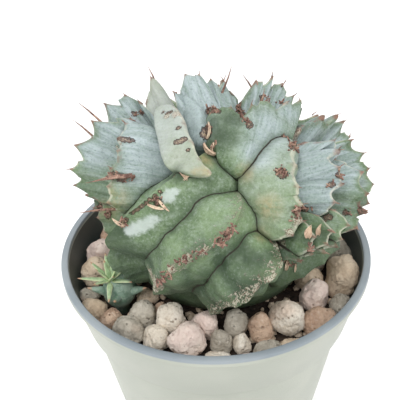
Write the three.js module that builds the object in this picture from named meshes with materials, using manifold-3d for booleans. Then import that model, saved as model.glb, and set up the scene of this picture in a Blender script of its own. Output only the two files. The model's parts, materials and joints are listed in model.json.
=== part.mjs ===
// A potted African milk barrel: a blue-grey Euphorbia horrida with folded, toothed ribs in a nursery pot.
// Millimetres, +Z up. The origin is the middle of the pot's underside, and the photographed front faces -Y.

import * as THREE from 'three';
import { mergeVertices } from 'three/addons/utils/BufferGeometryUtils.js';
import Module from 'manifold-3d';

const wasm = await Module();
wasm.setup();

// Pot: a common 10.5 cm nursery pot
const potHeight = 88;
const rimRadius = 52.5;
const lipHeight = 3;
const lipRound = 0.6;
const collarTopRadius = 51.2;
const collarFootRadius = 47.7;
const collarFootZ = 67;
const bodyTopRadius = 45.6;
const baseRadius = 36.6;
const wall = 1.2;
const potFloor = 2;
const potSides = 40;
const drainHoles = 5;
const drainRadius = 1.9;
const drainRingRadius = 26;

// Soil and stones
const gap = 0.3;
const soilTop = 73;
const soilSides = 32;
const stoneLift = 0.38;
const stoneFullness = 1.1;
const stoneFlatness = 0.82;

// Plant: the ribs fill an ellipsoid, and their points are given on it
const plantCentre = new THREE.Vector3(2, 1, 105);
const plantRadii = new THREE.Vector3(48.5, 41, 34);
const neckRadius = 16;
const neckFloorZ = 62;
const barrelRadius = 31;
const barrelFootZ = 74;
const barrelWide = 1.06;
const barrelDeep = 0.96;
const barrelSides = 22;
const spineRadius = 0.55;
const longSpineRadius = 0.7;
const spineSink = 2;

// Offset: the young shoot at the left, a round body with thick lobes and a crown of narrow leaves
const offsetPlace = new THREE.Vector3(-32, -15.5, 79.5);
const offsetNeckRadius = 2.6;
const offsetFloorZ = 66;
const offsetRadius = 5.5;
const offsetLobes = 5;
const offsetLobeLength = 12;
const offsetLobeRadius = 3;
const offsetLobeTurn = -20;
const offsetCrown = new THREE.Vector3(-34.4, -16.2, 85.8);
const offsetLeaves = 13;
const offsetLeafTilt = 10;
const offsetLeafLength = 10.5;
const offsetLeafRadius = 1.2;
const offsetLeafTurn = -85;
const goldenAngle = 137.5;

// Ribs. A crest or root point is [azimuth, elevation, reach]: azimuth 0 faces the front and 90 the right, and
// reach 1 lies on the ellipsoid. notch is the depth between teeth, thick and edge are half thicknesses. A rib with
// a high square number keeps its full height almost to its ends.
const ribs = {
  frontLeft: {
    crest: [[-97, 63, 0.98], [-100, 57, 1.04], [-89, 54, 1.05], [-72, 52, 1.05], [-63, 49, 1.05], [-57, 43, 1.05],
      [-52, 37, 1.05], [-49, 31, 1.05], [-47, 25, 1.03], [-42, 19, 0.97]],
    root: [[-100, 70, 0.6], [-56, 56, 0.6], [-46, 40, 0.55], [-40, 22, 0.5]],
    teeth: 8, notch: 1.8, thick: 7, edge: 0.9, fullness: 1.7, spine: 3,
  },
  farLeft: {
    crest: [[-110, 58, 1.08], [-99, 51, 1.18], [-91, 42, 1.18], [-87, 30, 1.1], [-86, 20, 1.04], [-84, 12, 0.98],
      [-76, 4, 0.84]],
    root: [[-100, 64, 0.6], [-76, 38, 0.5], [-70, 8, 0.5]],
    teeth: 6, notch: 4.2, thick: 5, edge: 0.8, fullness: 1.2, spine: 2.5,
  },
  behindLeft: {
    crest: [[-98, 36, 1.06], [-107, 48, 1.2], [-121, 53, 1.18], [-124, 56, 1.05], [-128, 64, 0.9]],
    root: [[-100, 40, 0.5], [-112, 50, 0.5], [-120, 62, 0.6]],
    teeth: 5, notch: 3.5, thick: 4, edge: 0.8, fullness: 1.2, spine: 2,
  },
  paleBack: {
    crest: [[-128, 44, 0.98], [-136, 51, 1.12], [-141, 55, 1.23], [-146, 52, 1.1], [-150, 46, 0.95]],
    root: [[-126, 46, 0.45], [-140, 54, 0.45], [-146, 48, 0.45]],
    teeth: 3, notch: 2.5, thick: 4, edge: 0.8, fullness: 1.2, spine: 2,
  },
  ear: {
    crest: [[-121, 70, 1.02], [-66, 76, 1.07], [-39, 73, 1.08], [-26, 68, 1.08], [-17, 63, 1.08], [-12, 58, 1.09],
      [-8, 54, 1.1], [-4, 51, 1.11], [-2, 47, 1.12]],
    root: [[-132, 60, 0.92], [-103, 65, 0.9], [-65, 65, 0.9], [-44, 59, 0.92], [-31, 53, 0.95], [-24, 50, 0.98]],
    teeth: 5, notch: 0.6, thick: 3, edge: 0.9, fullness: 2, spine: 0, square: 16,
  },
  column: {
    crest: [[-156, 62, 1], [-142, 70, 1.06], [-120, 79, 1.06], [-50, 82, 1.06], [-20, 75, 1.06], [-12, 68, 1.05],
      [-12, 62, 1]],
    root: [[-150, 66, 0.6], [-110, 74, 0.6], [-50, 66, 0.6]],
    teeth: 5, notch: 0.8, thick: 6, edge: 1.2, fullness: 2.4, spine: 0,
  },
  upperLeft: {
    crest: [[-95, 72, 0.96], [-118, 72, 1.08], [-138, 71, 1.15], [-158, 72, 1.23], [-168, 70, 1.12],
      [180, 71, 1.12], [166, 69, 1.13], [152, 66, 0.98]],
    root: [[-60, 72, 0.72], [-10, 82, 0.72], [150, 70, 0.6]],
    teeth: 7, notch: 3.4, thick: 5, edge: 0.8, fullness: 1.4, spine: 3,
  },
  upperRight: {
    crest: [[160, 72, 0.96], [150, 66, 1.07], [143, 62, 1.18], [138, 58, 1.17], [132, 53, 1.12], [124, 50, 1.05],
      [118, 44, 0.95]],
    root: [[150, 74, 0.6], [136, 62, 0.55], [120, 46, 0.5]],
    teeth: 6, notch: 3.8, thick: 4.5, edge: 0.8, fullness: 1.2, spine: 3,
  },
  upperLeftPillow: {
    crest: [[-6, 72, 0.97], [-14, 58, 1], [-23, 46, 1], [-30, 36, 1], [-37, 25, 1], [-42, 13, 0.99], [-46, 0, 0.92],
      [-48, -12, 0.84]],
    root: [[0, 70, 0.5], [0, 44, 0.5], [-14, 30, 0.5], [-30, 10, 0.5]],
    teeth: 7, notch: 0.8, thick: 11, edge: 1.4, fullness: 3, spine: 2,
  },
  fan: {
    crest: [[-33, 79, 1], [-45, 84, 1.04], [50, 88, 1.05], [56, 80, 1.03], [100, 75, 1.07], [95, 69, 1.05],
      [112, 60, 1.08], [116, 52, 1.09], [92, 55, 0.98]],
    root: [[-22, 74, 0.78], [12, 50, 0.82], [84, 60, 0.8]],
    teeth: 8, notch: 2.6, thick: 6, edge: 0.9, fullness: 1.8, spine: 3,
  },
  rightPillow: {
    crest: [[76, 64, 1], [60, 58, 1.04], [44, 52, 1.05], [35, 44, 1.05], [32, 36, 1.05], [30, 29, 1.05],
      [27, 23, 1.05], [22, 18, 1.04], [18, 12, 1]],
    root: [[70, 60, 0.72], [27, 48, 0.68], [23, 32, 0.6], [16, 15, 0.5]],
    teeth: 8, notch: 1.8, thick: 9, edge: 1, fullness: 2, spine: 3,
  },
  rightBlue: {
    crest: [[72, 57, 1], [79, 48, 1.03], [80, 41, 1.04], [64, 41, 1.03], [59, 34, 1.05], [50, 30, 1.04],
      [45, 23, 1.04], [39, 16, 0.98]],
    root: [[74, 52, 0.6], [52, 44, 0.55], [44, 30, 0.5], [42, 16, 0.5]],
    teeth: 7, notch: 2.4, thick: 6, edge: 0.9, fullness: 1.6, spine: 3,
  },
  farRight: {
    crest: [[92, 44, 1.03], [97, 32, 1.07], [92, 22, 1.05], [86, 13, 1.04], [76, 5, 1.02], [68, -2, 0.94]],
    root: [[86, 46, 0.5], [76, 26, 0.5], [66, 2, 0.5]],
    teeth: 7, notch: 3, thick: 5, edge: 0.8, fullness: 1.2, spine: 2.5,
  },
  farRightFront: {
    crest: [[84, 38, 1], [78, 28, 1.04], [68, 19, 1.05], [62, 11, 1.04], [53, 6, 1.02], [47, 0, 0.95]],
    root: [[76, 38, 0.5], [62, 24, 0.5], [52, 4, 0.5]],
    teeth: 6, notch: 2.8, thick: 5, edge: 0.8, fullness: 1.3, spine: 2.5,
  },
  backRight: {
    crest: [[76, 60, 1], [98, 49, 1.07], [110, 37, 1.11], [110, 24, 1.07], [106, 8, 1]],
    root: [[90, 58, 0.55], [100, 34, 0.5], [98, 8, 0.5]],
    teeth: 6, notch: 3.4, thick: 5, edge: 0.8, fullness: 1.2, spine: 2.5,
  },
  frontPillow: {
    crest: [[12, 47, 0.99], [8, 37, 1.02], [2, 27, 1.03], [-7, 18, 1.03], [-14, 11, 1.03], [-21, -1, 1.02],
      [-27, -20, 0.96], [-30, -42, 0.88]],
    root: [[8, 44, 0.5], [-4, 24, 0.5], [-18, -4, 0.5], [-28, -40, 0.5]],
    teeth: 8, notch: 0.8, thick: 15, edge: 1.6, fullness: 2.3, spine: 2,
  },
  lowestPillow: {
    crest: [[24, 15, 0.97], [18, 8, 1.02], [10, 0, 1.04], [2, -11, 1.03], [-5, -27, 0.99], [-10, -46, 0.93]],
    root: [[26, 16, 0.5], [10, 0, 0.5], [0, -16, 0.5], [-8, -44, 0.5]],
    teeth: 8, notch: 0.8, thick: 15, edge: 1.6, fullness: 2.3, spine: 2,
  },
  lowerRight: {
    crest: [[50, 13, 0.99], [43, 8, 1.04], [36, 8, 1.04], [30, 9, 1.03], [25, 6, 1.02], [20, 0, 0.98]],
    root: [[54, 12, 0.5], [38, 4, 0.5], [22, -6, 0.5]],
    teeth: 6, notch: 2.4, thick: 6, edge: 0.9, fullness: 1.5, spine: 2.5,
  },
  foldNear: {
    crest: [[36, 25, 0.95], [33, 20, 1.03], [31, 15, 1.05], [28, 10, 1.04], [23, 6, 0.98]],
    root: [[34, 22, 0.5], [28, 10, 0.5], [24, 6, 0.5]],
    teeth: 4, notch: 1.6, thick: 4, edge: 0.9, fullness: 1.6, spine: 2,
  },
  foldFar: {
    crest: [[43, 25, 0.95], [40, 20, 1.04], [38, 14, 1.06], [34, 10, 1.04], [29, 8, 0.98]],
    root: [[40, 22, 0.5], [34, 12, 0.5], [30, 8, 0.5]],
    teeth: 4, notch: 1.6, thick: 4, edge: 0.9, fullness: 1.6, spine: 2,
  },
  foldEdge: {
    crest: [[50, 26, 0.96], [49, 18, 1.05], [45, 13, 1.06], [41, 8, 1.04], [37, 4, 0.97]],
    root: [[47, 22, 0.5], [43, 10, 0.5], [38, 6, 0.5]],
    teeth: 4, notch: 1.8, thick: 4.5, edge: 0.9, fullness: 1.6, spine: 2,
  },
  lowerRightUnder: {
    crest: [[70, -6, 0.94], [58, -12, 0.92], [44, -20, 0.9], [30, -32, 0.88], [20, -48, 0.86]],
    root: [[66, -6, 0.5], [46, -18, 0.5], [24, -46, 0.5]],
    teeth: 6, notch: 1, thick: 9, edge: 1.4, fullness: 2.6, spine: 0,
  },
  sideLeft: {
    crest: [[-84, 12, 0.88], [-78, -4, 0.84], [-74, -20, 0.82], [-72, -42, 0.82]],
    root: [[-82, 10, 0.5], [-76, -16, 0.5], [-72, -40, 0.5]],
    teeth: 5, notch: 2, thick: 7, edge: 1, fullness: 1.6, spine: 2,
  },
  sideLeftBack: {
    crest: [[-100, 26, 0.98], [-97, 6, 0.95], [-95, -14, 0.88], [-94, -40, 0.82]],
    root: [[-96, 24, 0.5], [-95, -8, 0.5], [-94, -38, 0.5]],
    teeth: 6, notch: 3, thick: 6, edge: 0.9, fullness: 1.4, spine: 2.5,
  },
  sideRight: {
    crest: [[102, 16, 0.98], [98, 0, 0.94], [94, -18, 0.88], [92, -42, 0.82]],
    root: [[100, 14, 0.5], [95, -14, 0.5], [92, -40, 0.5]],
    teeth: 6, notch: 3, thick: 6, edge: 0.9, fullness: 1.4, spine: 2.5,
  },
  sideRightFront: {
    crest: [[84, 2, 0.94], [78, -14, 0.9], [72, -28, 0.86], [68, -46, 0.82]],
    root: [[82, 0, 0.5], [74, -24, 0.5], [68, -44, 0.5]],
    teeth: 5, notch: 2, thick: 7, edge: 1, fullness: 1.6, spine: 2,
  },
  lowerLeft: {
    crest: [[-52, 6, 0.9], [-48, -8, 0.9], [-44, -24, 0.88], [-42, -46, 0.84]],
    root: [[-50, 6, 0.5], [-46, -14, 0.5], [-42, -44, 0.5]],
    teeth: 6, notch: 1, thick: 9, edge: 1.4, fullness: 2.6, spine: 0,
  },
};

// The ribs that stand round the back follow the meridians: azimuth, elevation of the top, reach, lean
const backRibs = [
  [-110, 36, 1.05, -6],
  [-125, 44, 1.07, 6],
  [-140, 44, 1.05, -6],
  [-155, 52, 1.09, 7],
  [-170, 58, 1.09, -7],
  [175, 62, 1.1, 7],
  [160, 56, 1.1, -7],
  [145, 50, 1.08, 7],
  [130, 42, 1.07, -6],
  [116, 34, 1.05, 5],
];
const backRibTeeth = 7;
const backRibFoot = -48;

// Spines that are longer than their neighbours: [azimuth, elevation, reach] of the root and of the tip
const longSpines = [
  [[-94, 48, 1.06], [-95, 50, 1.36]],
  [[-92, 41, 1.04], [-93, 44, 1.27]],
  [[-50, 40, 0.94], [-50, 36, 1.24]],
  [[-47, 26, 0.94], [-49, 25, 1.19]],
  [[-142, 53, 1.08], [-142, 56, 1.33]],
  [[178, 76, 0.96], [164, 72, 1.25]],
  [[145, 62, 0.98], [157, 67, 1.16]],
  [[100, 74, 0.95], [101, 75, 1.16]],
];

// Stones seen in front of the plant and beside it: x, y, width, height, tone
const frontStones = [
  [43, -9.6, 13.5, 15, 'tan'],
  [32.5, -19, 10.5, 14, 'pink'],
  [32.5, -29, 12.5, 11.5, 'rust'],
  [22.5, -27.5, 12, 14.5, 'cream'],
  [13.5, -31, 9.5, 12, 'rust'],
  [7.4, -36, 7, 9, 'cream'],
  [15.5, -38.5, 9.5, 7, 'grey'],
  [24, -37.5, 8.5, 7, 'tan'],
  [1, -36, 8.5, 10, 'grey'],
  [0, -42.5, 10, 8, 'cream'],
  [9, -43.5, 8, 6.5, 'pink'],
  [-9.2, -35.5, 13, 14, 'pink'],
  [-4, -29, 10, 13.5, 'pink'],
  [-14.5, -28, 10.5, 14, 'cream'],
  [-18.8, -33.5, 9.5, 11, 'cream'],
  [-28, -31.5, 12, 12.5, 'grey'],
  [-34, -25.5, 9, 10, 'rust'],
  [-23.5, -24.5, 9.5, 12.5, 'grey'],
  [-41.5, -20.5, 9, 8, 'tan'],
  [-43.5, -11.5, 8, 6, 'grey'],
  [-42, -2.5, 12, 12, 'tan'],
  [-42, 8.5, 12, 11, 'pink'],
  [-38, 19.5, 12, 11, 'rust'],
  [43.5, 4.5, 11.5, 11, 'grey'],
  [36.5, 15.5, 12, 10, 'tan'],
  [-17.5, -42.5, 9, 7, 'grey'],
  [-8.5, -45, 7, 6, 'tan'],
  [5.5, -29.5, 9.5, 12, 'grey'],
  [32, -9.5, 9.5, 10, 'tan'],
  [-30.5, -3, 9, 9, 'cream'],
  [40, -20.5, 8, 8, 'grey'],
  [-23.5, -14, 7.5, 6, 'tan'],
  [-18, -21, 7, 8, 'rust'],
];
const backStoneCount = 18;
const backStoneSize = 12;
const stoneRing = 33;
const stoneRingWidth = 10;
const stoneTries = 20000;
const stemClearance = 0.5;
const skirtHeight = 5;

const mergeDistance = 1e-4;

const tones = { tan: 0xb79a80, rust: 0x97765f, pink: 0xcfb3a6, grey: 0xa8a196, cream: 0xd4c8b6 };

// Seeded draws, so that every build gives the same plant
function makeRandom(seed) {
  const modulus = 2 ** 31 - 1;
  let state = seed;
  return () => {
    state = (state * 16807) % modulus;
    return state / modulus;
  };
}

function toSolid(geometry) {
  geometry.deleteAttribute('normal');
  geometry.deleteAttribute('uv');
  const merged = mergeVertices(geometry, mergeDistance);
  return new wasm.Manifold(new wasm.Mesh({
    numProp: 3,
    vertProperties: new Float32Array(merged.attributes.position.array),
    triVerts: new Uint32Array(merged.index.array),
  }));
}

function toGeometry(solid) {
  const mesh = solid.getMesh();
  const geometry = new THREE.BufferGeometry();
  geometry.setAttribute('position', new THREE.BufferAttribute(new Float32Array(mesh.vertProperties), 3));
  geometry.setIndex(new THREE.BufferAttribute(new Uint32Array(mesh.triVerts), 1));
  return geometry;
}

function fuse(solids) {
  return solids.reduce((whole, next) => whole.add(next));
}

// The largest body of a fused solid, without the scraps and the sealed hollows that fusing can leave
function wholeBody(solid) {
  return solid.decompose().reduce((largest, next) => (next.volume() > largest.volume() ? next : largest));
}

function makePiece(name, geometry, color, roughness) {
  const material = new THREE.MeshStandardMaterial({ color, roughness, metalness: 0 });
  const mesh = new THREE.Mesh(geometry, material);
  mesh.name = name;
  return mesh;
}

// A point of the plant from its azimuth and elevation in degrees and its reach
function plantPoint([azimuth, elevation, reach]) {
  const a = THREE.MathUtils.degToRad(azimuth);
  const e = THREE.MathUtils.degToRad(elevation);
  const way = new THREE.Vector3(Math.sin(a) * Math.cos(e), -Math.cos(a) * Math.cos(e), Math.sin(e));
  return way.multiply(plantRadii).multiplyScalar(reach).add(plantCentre);
}

function curveThrough(points) {
  return new THREE.CatmullRomCurve3(points.map(plantPoint), false, 'catmullrom', 0.5);
}

// One rib as two curves, with the frame of its section at s: root, way to the crest, height and side
function makeRib(spec) {
  const crest = curveThrough(spec.crest);
  const root = curveThrough(spec.root);
  const middle = (s) => crest.getPoint(s).add(root.getPoint(s)).multiplyScalar(0.5);
  const section = (s) => {
    const low = root.getPoint(s);
    const up = crest.getPoint(s).sub(low);
    const height = up.length();
    up.divideScalar(height);
    const along = middle(Math.min(1, s + 0.01)).sub(middle(Math.max(0, s - 0.01)));
    const side = along.cross(up).normalize();
    return { low, up, height, side };
  };
  // 1 at the tip of a tooth and 0 between two teeth
  const tooth = (s) => 1 - Math.abs(1 - 2 * ((s * spec.teeth) % 1));
  const end = (s) => Math.sqrt(Math.max(0, 1 - Math.abs(2 * s - 1) ** (spec.square ?? 5)));
  return { ...spec, section, tooth, end };
}

// The rib's body: a sphere whose poles are the rib's two ends and whose rings are its sections
function ribSolid(rib) {
  const fin = rib.fullness < 1.3 ? 4 : 6;
  const sides = rib.fullness > 2.2 ? 10 : fin;
  const geometry = new THREE.SphereGeometry(1, sides, 2 * rib.teeth);
  const place = geometry.attributes.position;
  for (let i = 0; i < place.count; i += 1) {
    const s = 1 - geometry.attributes.uv.getY(i);
    const turn = 2 * Math.PI * geometry.attributes.uv.getX(i);
    const { low, up, height, side } = rib.section(s);
    const rise = 0.5 - 0.5 * Math.cos(turn);
    const bulge = rib.edge + (rib.thick - rib.edge) * (1 - rise ** rib.fullness);
    const across = Math.abs(Math.sin(turn)) < 1e-9 ? 0 : Math.sin(turn);
    const width = bulge * Math.min(1, 1.4 * Math.abs(across)) * Math.sign(across);
    const length = height - rib.notch * (1 - rib.tooth(s));
    const point = low.addScaledVector(up, rise * length * rib.end(s));
    point.addScaledVector(side, width * rib.end(s));
    place.setXYZ(i, point.x, point.y, point.z);
  }
  return toSolid(geometry);
}

function spineSolid(foot, tip, radius) {
  const way = tip.clone().sub(foot);
  const length = way.length() + spineSink;
  way.normalize();
  const geometry = new THREE.ConeGeometry(radius, length, 3);
  geometry.applyQuaternion(new THREE.Quaternion().setFromUnitVectors(new THREE.Vector3(0, 1, 0), way));
  const middle = tip.clone().addScaledVector(way, -length / 2);
  geometry.translate(middle.x, middle.y, middle.z);
  return toSolid(geometry);
}

// Short spines on every second tooth, bent to one side and the other in turn
function ribSpines(rib, random) {
  const spines = [];
  for (let k = 1; k < rib.teeth && rib.spine > 0; k += 2) {
    const s = (k + 0.5) / rib.teeth;
    const { low, up, height, side } = rib.section(s);
    const foot = low.addScaledVector(up, height * rib.end(s) - 0.5);
    const bend = side.multiplyScalar(k % 4 === 1 ? 0.45 : -0.45);
    const way = up.add(bend).normalize();
    const tip = foot.clone().addScaledVector(way, rib.spine * (0.7 + 0.8 * random()));
    spines.push(spineSolid(foot, tip, spineRadius));
  }
  return spines;
}

function backRibSpec([azimuth, top, reach, lean]) {
  const heights = [0, 0.1, 0.3, 0.5, 0.75, 1].map((share) => top + share * (backRibFoot - top));
  const reaches = [reach - 0.1, reach, reach, reach - 0.04, reach - 0.08, reach - 0.17];
  return {
    crest: heights.map((height, i) => [azimuth + lean * (0.5 - i / 5), height, reaches[i]]),
    root: [[azimuth - lean, top - 4, 0.5], [azimuth, 16, 0.5], [azimuth, backRibFoot, 0.5]],
    teeth: backRibTeeth, notch: 3.4, thick: 4.6, edge: 0.8, fullness: 1.2, spine: 2.5,
  };
}

// A closed turned body from its outline of [radius, height] pairs
function turned(outline, sides) {
  const geometry = new THREE.LatheGeometry(outline.map(([r, z]) => new THREE.Vector2(r, z)), sides);
  return geometry.rotateX(Math.PI / 2);
}

// The barrel under the ribs, with the neck that goes into the soil
function barrel() {
  const geometry = turned([
    [0, neckFloorZ], [neckRadius - 2, neckFloorZ], [neckRadius, neckFloorZ + 3], [neckRadius, barrelFootZ],
    [0.84 * barrelRadius, barrelFootZ + 5], [0.95 * barrelRadius, barrelFootZ + 12], [barrelRadius, 96],
    [0.93 * barrelRadius, 105], [0.74 * barrelRadius, 116], [0.4 * barrelRadius, 124], [0, 126],
  ], barrelSides);
  geometry.scale(barrelWide, barrelDeep, 1);
  geometry.translate(plantCentre.x, plantCentre.y, 0);
  return toSolid(geometry);
}

// Radius that the stones keep clear of at a height: the neck, then a skirt that widens above the barrel's foot
function clearRadiusAt(z) {
  const rise = Math.max(0, z - barrelFootZ);
  return neckRadius + stemClearance + rise + Math.min(rise, skirtHeight);
}

function makeStem() {
  const random = makeRandom(4071);
  const specs = [...Object.values(ribs), ...backRibs.map(backRibSpec)];
  const made = specs.map(makeRib);
  const solids = [barrel(), ...made.map(ribSolid)];
  made.forEach((rib) => solids.push(...ribSpines(rib, random)));
  longSpines.forEach(([foot, tip]) => {
    solids.push(spineSolid(plantPoint(foot), plantPoint(tip), longSpineRadius));
  });
  return wholeBody(fuse(solids));
}

function makePot() {
  const lipFootZ = potHeight - lipHeight;
  let solid = toSolid(turned([
    [0, 0], [baseRadius - 0.8, 0], [baseRadius, 0.8], [bodyTopRadius, collarFootZ - 1],
    [collarFootRadius, collarFootZ], [collarTopRadius, lipFootZ], [rimRadius, lipFootZ + 0.3],
    [rimRadius, potHeight - lipRound], [rimRadius - lipRound, potHeight], [rimRadius - 3 * lipRound, potHeight],
    [rimRadius - 4 * lipRound, potHeight - lipRound], [collarTopRadius - wall, lipFootZ],
    [collarFootRadius - wall, collarFootZ + 0.6], [bodyTopRadius - wall, collarFootZ - 0.4],
    [baseRadius - wall + 0.3, potFloor], [0, potFloor],
  ], potSides));
  for (let k = 0; k < drainHoles; k += 1) {
    const turn = (2 * Math.PI * k) / drainHoles;
    const drill = new THREE.CylinderGeometry(drainRadius, drainRadius, 3 * potFloor, 10);
    drill.rotateX(Math.PI / 2);
    drill.translate(drainRingRadius * Math.cos(turn), drainRingRadius * Math.sin(turn), potFloor / 2);
    solid = solid.subtract(toSolid(drill));
  }
  return solid;
}

// Inner radius of the pot at a height in its collar
function innerRadius(z) {
  const share = (z - collarFootZ) / (potHeight - lipHeight - collarFootZ);
  return collarFootRadius - wall + share * (collarTopRadius - collarFootRadius);
}

function makeSoil() {
  const bed = toSolid(turned([
    [0, potFloor + gap], [baseRadius - wall - gap, potFloor + gap],
    [bodyTopRadius - wall - 2 * gap, collarFootZ - 0.4], [collarFootRadius - wall - 2 * gap, collarFootZ + 1.2],
    [innerRadius(soilTop) - 2 * gap, soilTop], [0, soilTop],
  ], soilSides));
  const holes = [
    [plantCentre.x, plantCentre.y, neckRadius * barrelWide, neckFloorZ, 24],
    [offsetPlace.x, offsetPlace.y, offsetNeckRadius, offsetFloorZ, 10],
  ];
  return holes.reduce((solid, [x, y, radius, floor, sides]) => {
    const roomy = radius + 2 * gap;
    const hole = new THREE.CylinderGeometry(roomy, roomy, soilTop + 5 - floor, sides);
    hole.rotateX(Math.PI / 2);
    hole.translate(x, y, (soilTop + 5 + floor) / 2 - gap);
    return solid.subtract(toSolid(hole));
  }, bed);
}

// A pointed leaf from its foot: turned about the upright axis, tilted up from level, in degrees
function leafSolid(foot, turn, tilt, length, radius, sides) {
  const a = THREE.MathUtils.degToRad(turn);
  const e = THREE.MathUtils.degToRad(tilt);
  const way = new THREE.Vector3(Math.cos(a) * Math.cos(e), Math.sin(a) * Math.cos(e), Math.sin(e));
  const leaf = new THREE.ConeGeometry(radius, length, sides);
  leaf.applyQuaternion(new THREE.Quaternion().setFromUnitVectors(new THREE.Vector3(0, 1, 0), way));
  const middle = foot.clone().addScaledVector(way, length / 2);
  leaf.translate(middle.x, middle.y, middle.z);
  return toSolid(leaf);
}

// The offset: a small round body, thick lobes round it and narrow leaves set by the golden angle
function makeOffset() {
  const random = makeRandom(77);
  const body = turned([
    [0, offsetFloorZ], [offsetNeckRadius, offsetFloorZ], [offsetNeckRadius, soilTop + 2], [offsetRadius, 79],
    [offsetRadius, 82.5], [0.65 * offsetRadius, 86], [0, 87],
  ], 9);
  body.translate(offsetPlace.x, offsetPlace.y, 0);
  const solids = [toSolid(body)];
  for (let k = 0; k < offsetLobes; k += 1) {
    const turn = offsetLobeTurn + (360 * k) / offsetLobes;
    solids.push(leafSolid(offsetPlace, turn, 25, offsetLobeLength * (0.85 + 0.2 * random()), offsetLobeRadius, 6));
  }
  for (let k = 0; k < offsetLeaves; k += 1) {
    const share = k / (offsetLeaves - 1);
    const length = offsetLeafLength * (1 - 0.35 * share + 0.15 * random());
    const turn = offsetLeafTurn + k * goldenAngle;
    solids.push(leafSolid(offsetCrown, turn, offsetLeafTilt + 60 * share, length, offsetLeafRadius, 4));
  }
  return fuse(solids);
}

// Stones lie in one layer. The ones at the back are placed by a seeded rule round the trunk.
function placeStones() {
  const random = makeRandom(913);
  const stones = frontStones.map(([x, y, width, height, tone]) => ({ x, y, width, height, tone }));
  const names = Object.keys(tones);
  for (let tries = 0; tries < stoneTries && stones.length < frontStones.length + backStoneCount; tries += 1) {
    const turn = 2 * Math.PI * random();
    const ring = stoneRing + stoneRingWidth * random();
    const width = backStoneSize * (0.85 + 0.3 * random());
    const height = stoneFlatness * width;
    const stone = { x: ring * Math.cos(turn), y: ring * Math.sin(turn), width, height };
    stone.tone = names[Math.floor(names.length * random())];
    const clear = stones.every((other) => {
      const room = Math.hypot(stone.x - other.x, stone.y - other.y);
      return room > 0.4 * (other.width + width);
    });
    const offsetRoom = Math.hypot(stone.x - offsetPlace.x, stone.y - offsetPlace.y);
    const clearOffset = offsetRoom > offsetRadius + 2 + width / 2;
    if (clear && clearOffset) {
      stones.push(stone);
    }
  }
  return stones;
}

// A stone is a rough twelve-sided lump, flattened where it meets the soil, the pot and its neighbours
function makeStone(stone, stones, random) {
  const geometry = new THREE.DodecahedronGeometry(1);
  geometry.deleteAttribute('normal');
  geometry.deleteAttribute('uv');
  const lump = mergeVertices(geometry, mergeDistance);
  const place = lump.attributes.position;
  const swell = [random(), random(), random()].map((value) => 0.92 + 0.16 * value);
  const turn = new THREE.Euler(6 * random(), 6 * random(), 6 * random());
  const centre = new THREE.Vector3(stone.x, stone.y, soilTop + stoneLift * stone.height);
  const shoot = { x: offsetPlace.x, y: offsetPlace.y, width: 2 * offsetRadius };
  const neighbours = [...stones.filter((other) => other !== stone), shoot];
  for (let i = 0; i < place.count; i += 1) {
    const point = new THREE.Vector3().fromBufferAttribute(place, i).applyEuler(turn);
    point.multiply(new THREE.Vector3(...swell)).multiplyScalar(stoneFullness + 0.14 * (random() - 0.5));
    point.multiply(new THREE.Vector3(stone.width / 2, stone.width / 2, stone.height / 2)).add(centre);
    for (let pass = 0; pass < 2; pass += 1) {
      neighbours.forEach((other) => {
        const way = new THREE.Vector3(other.x - stone.x, other.y - stone.y, 0);
        const room = way.length();
        way.divideScalar(room);
        const share = stone.width / (stone.width + other.width);
        const beyond = point.clone().sub(centre).dot(way) - (room * share - gap / 2);
        if (beyond > 0) {
          point.addScaledVector(way, -beyond);
        }
      });
      const reach = Math.hypot(point.x, point.y);
      const limit = innerRadius(Math.max(point.z, soilTop)) - 2 * gap;
      if (reach > limit) {
        point.x *= limit / reach;
        point.y *= limit / reach;
      }
    }
    const inward = new THREE.Vector2((point.x - plantCentre.x) / barrelWide, (point.y - plantCentre.y) / barrelDeep);
    const clearOf = clearRadiusAt(point.z);
    if (inward.length() < clearOf) {
      inward.setLength(clearOf);
      point.x = plantCentre.x + inward.x * barrelWide;
      point.y = plantCentre.y + inward.y * barrelDeep;
    }
    point.z = Math.max(point.z, soilTop + gap);
    place.setXYZ(i, point.x, point.y, point.z);
  }
  return toSolid(lump);
}

const part = new THREE.Group();
part.name = 'potted_milk_barrel';

part.add(makePiece('pot', toGeometry(makePot()), 0xb9bdb4, 0.45));
part.add(makePiece('soil', toGeometry(makeSoil()), 0x5a4a3e, 0.95));
part.add(makePiece('stem', toGeometry(makeStem()), 0x8fae9c, 0.6));
part.add(makePiece('offset', toGeometry(makeOffset()), 0x7fa394, 0.6));

const stoneRandom = makeRandom(2718);
const placed = placeStones();
placed.forEach((stone, i) => {
  const name = `stone_${String(i + 1).padStart(2, '0')}`;
  const solid = makeStone(stone, placed, stoneRandom);
  part.add(makePiece(name, toGeometry(solid), tones[stone.tone], 0.9));
});

export default part;
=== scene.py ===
# A potted African milk barrel: fine ribs, spines, stones and pot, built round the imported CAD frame.
# The scene is in metres. The plant's own numbers are in millimetres and are turned into metres at the end.
import json
import math
import random

import bmesh
import bpy
from mathutils import Euler, Matrix, Vector, noise
from mathutils.bvhtree import BVHTree
from mathutils.kdtree import KDTree


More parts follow.
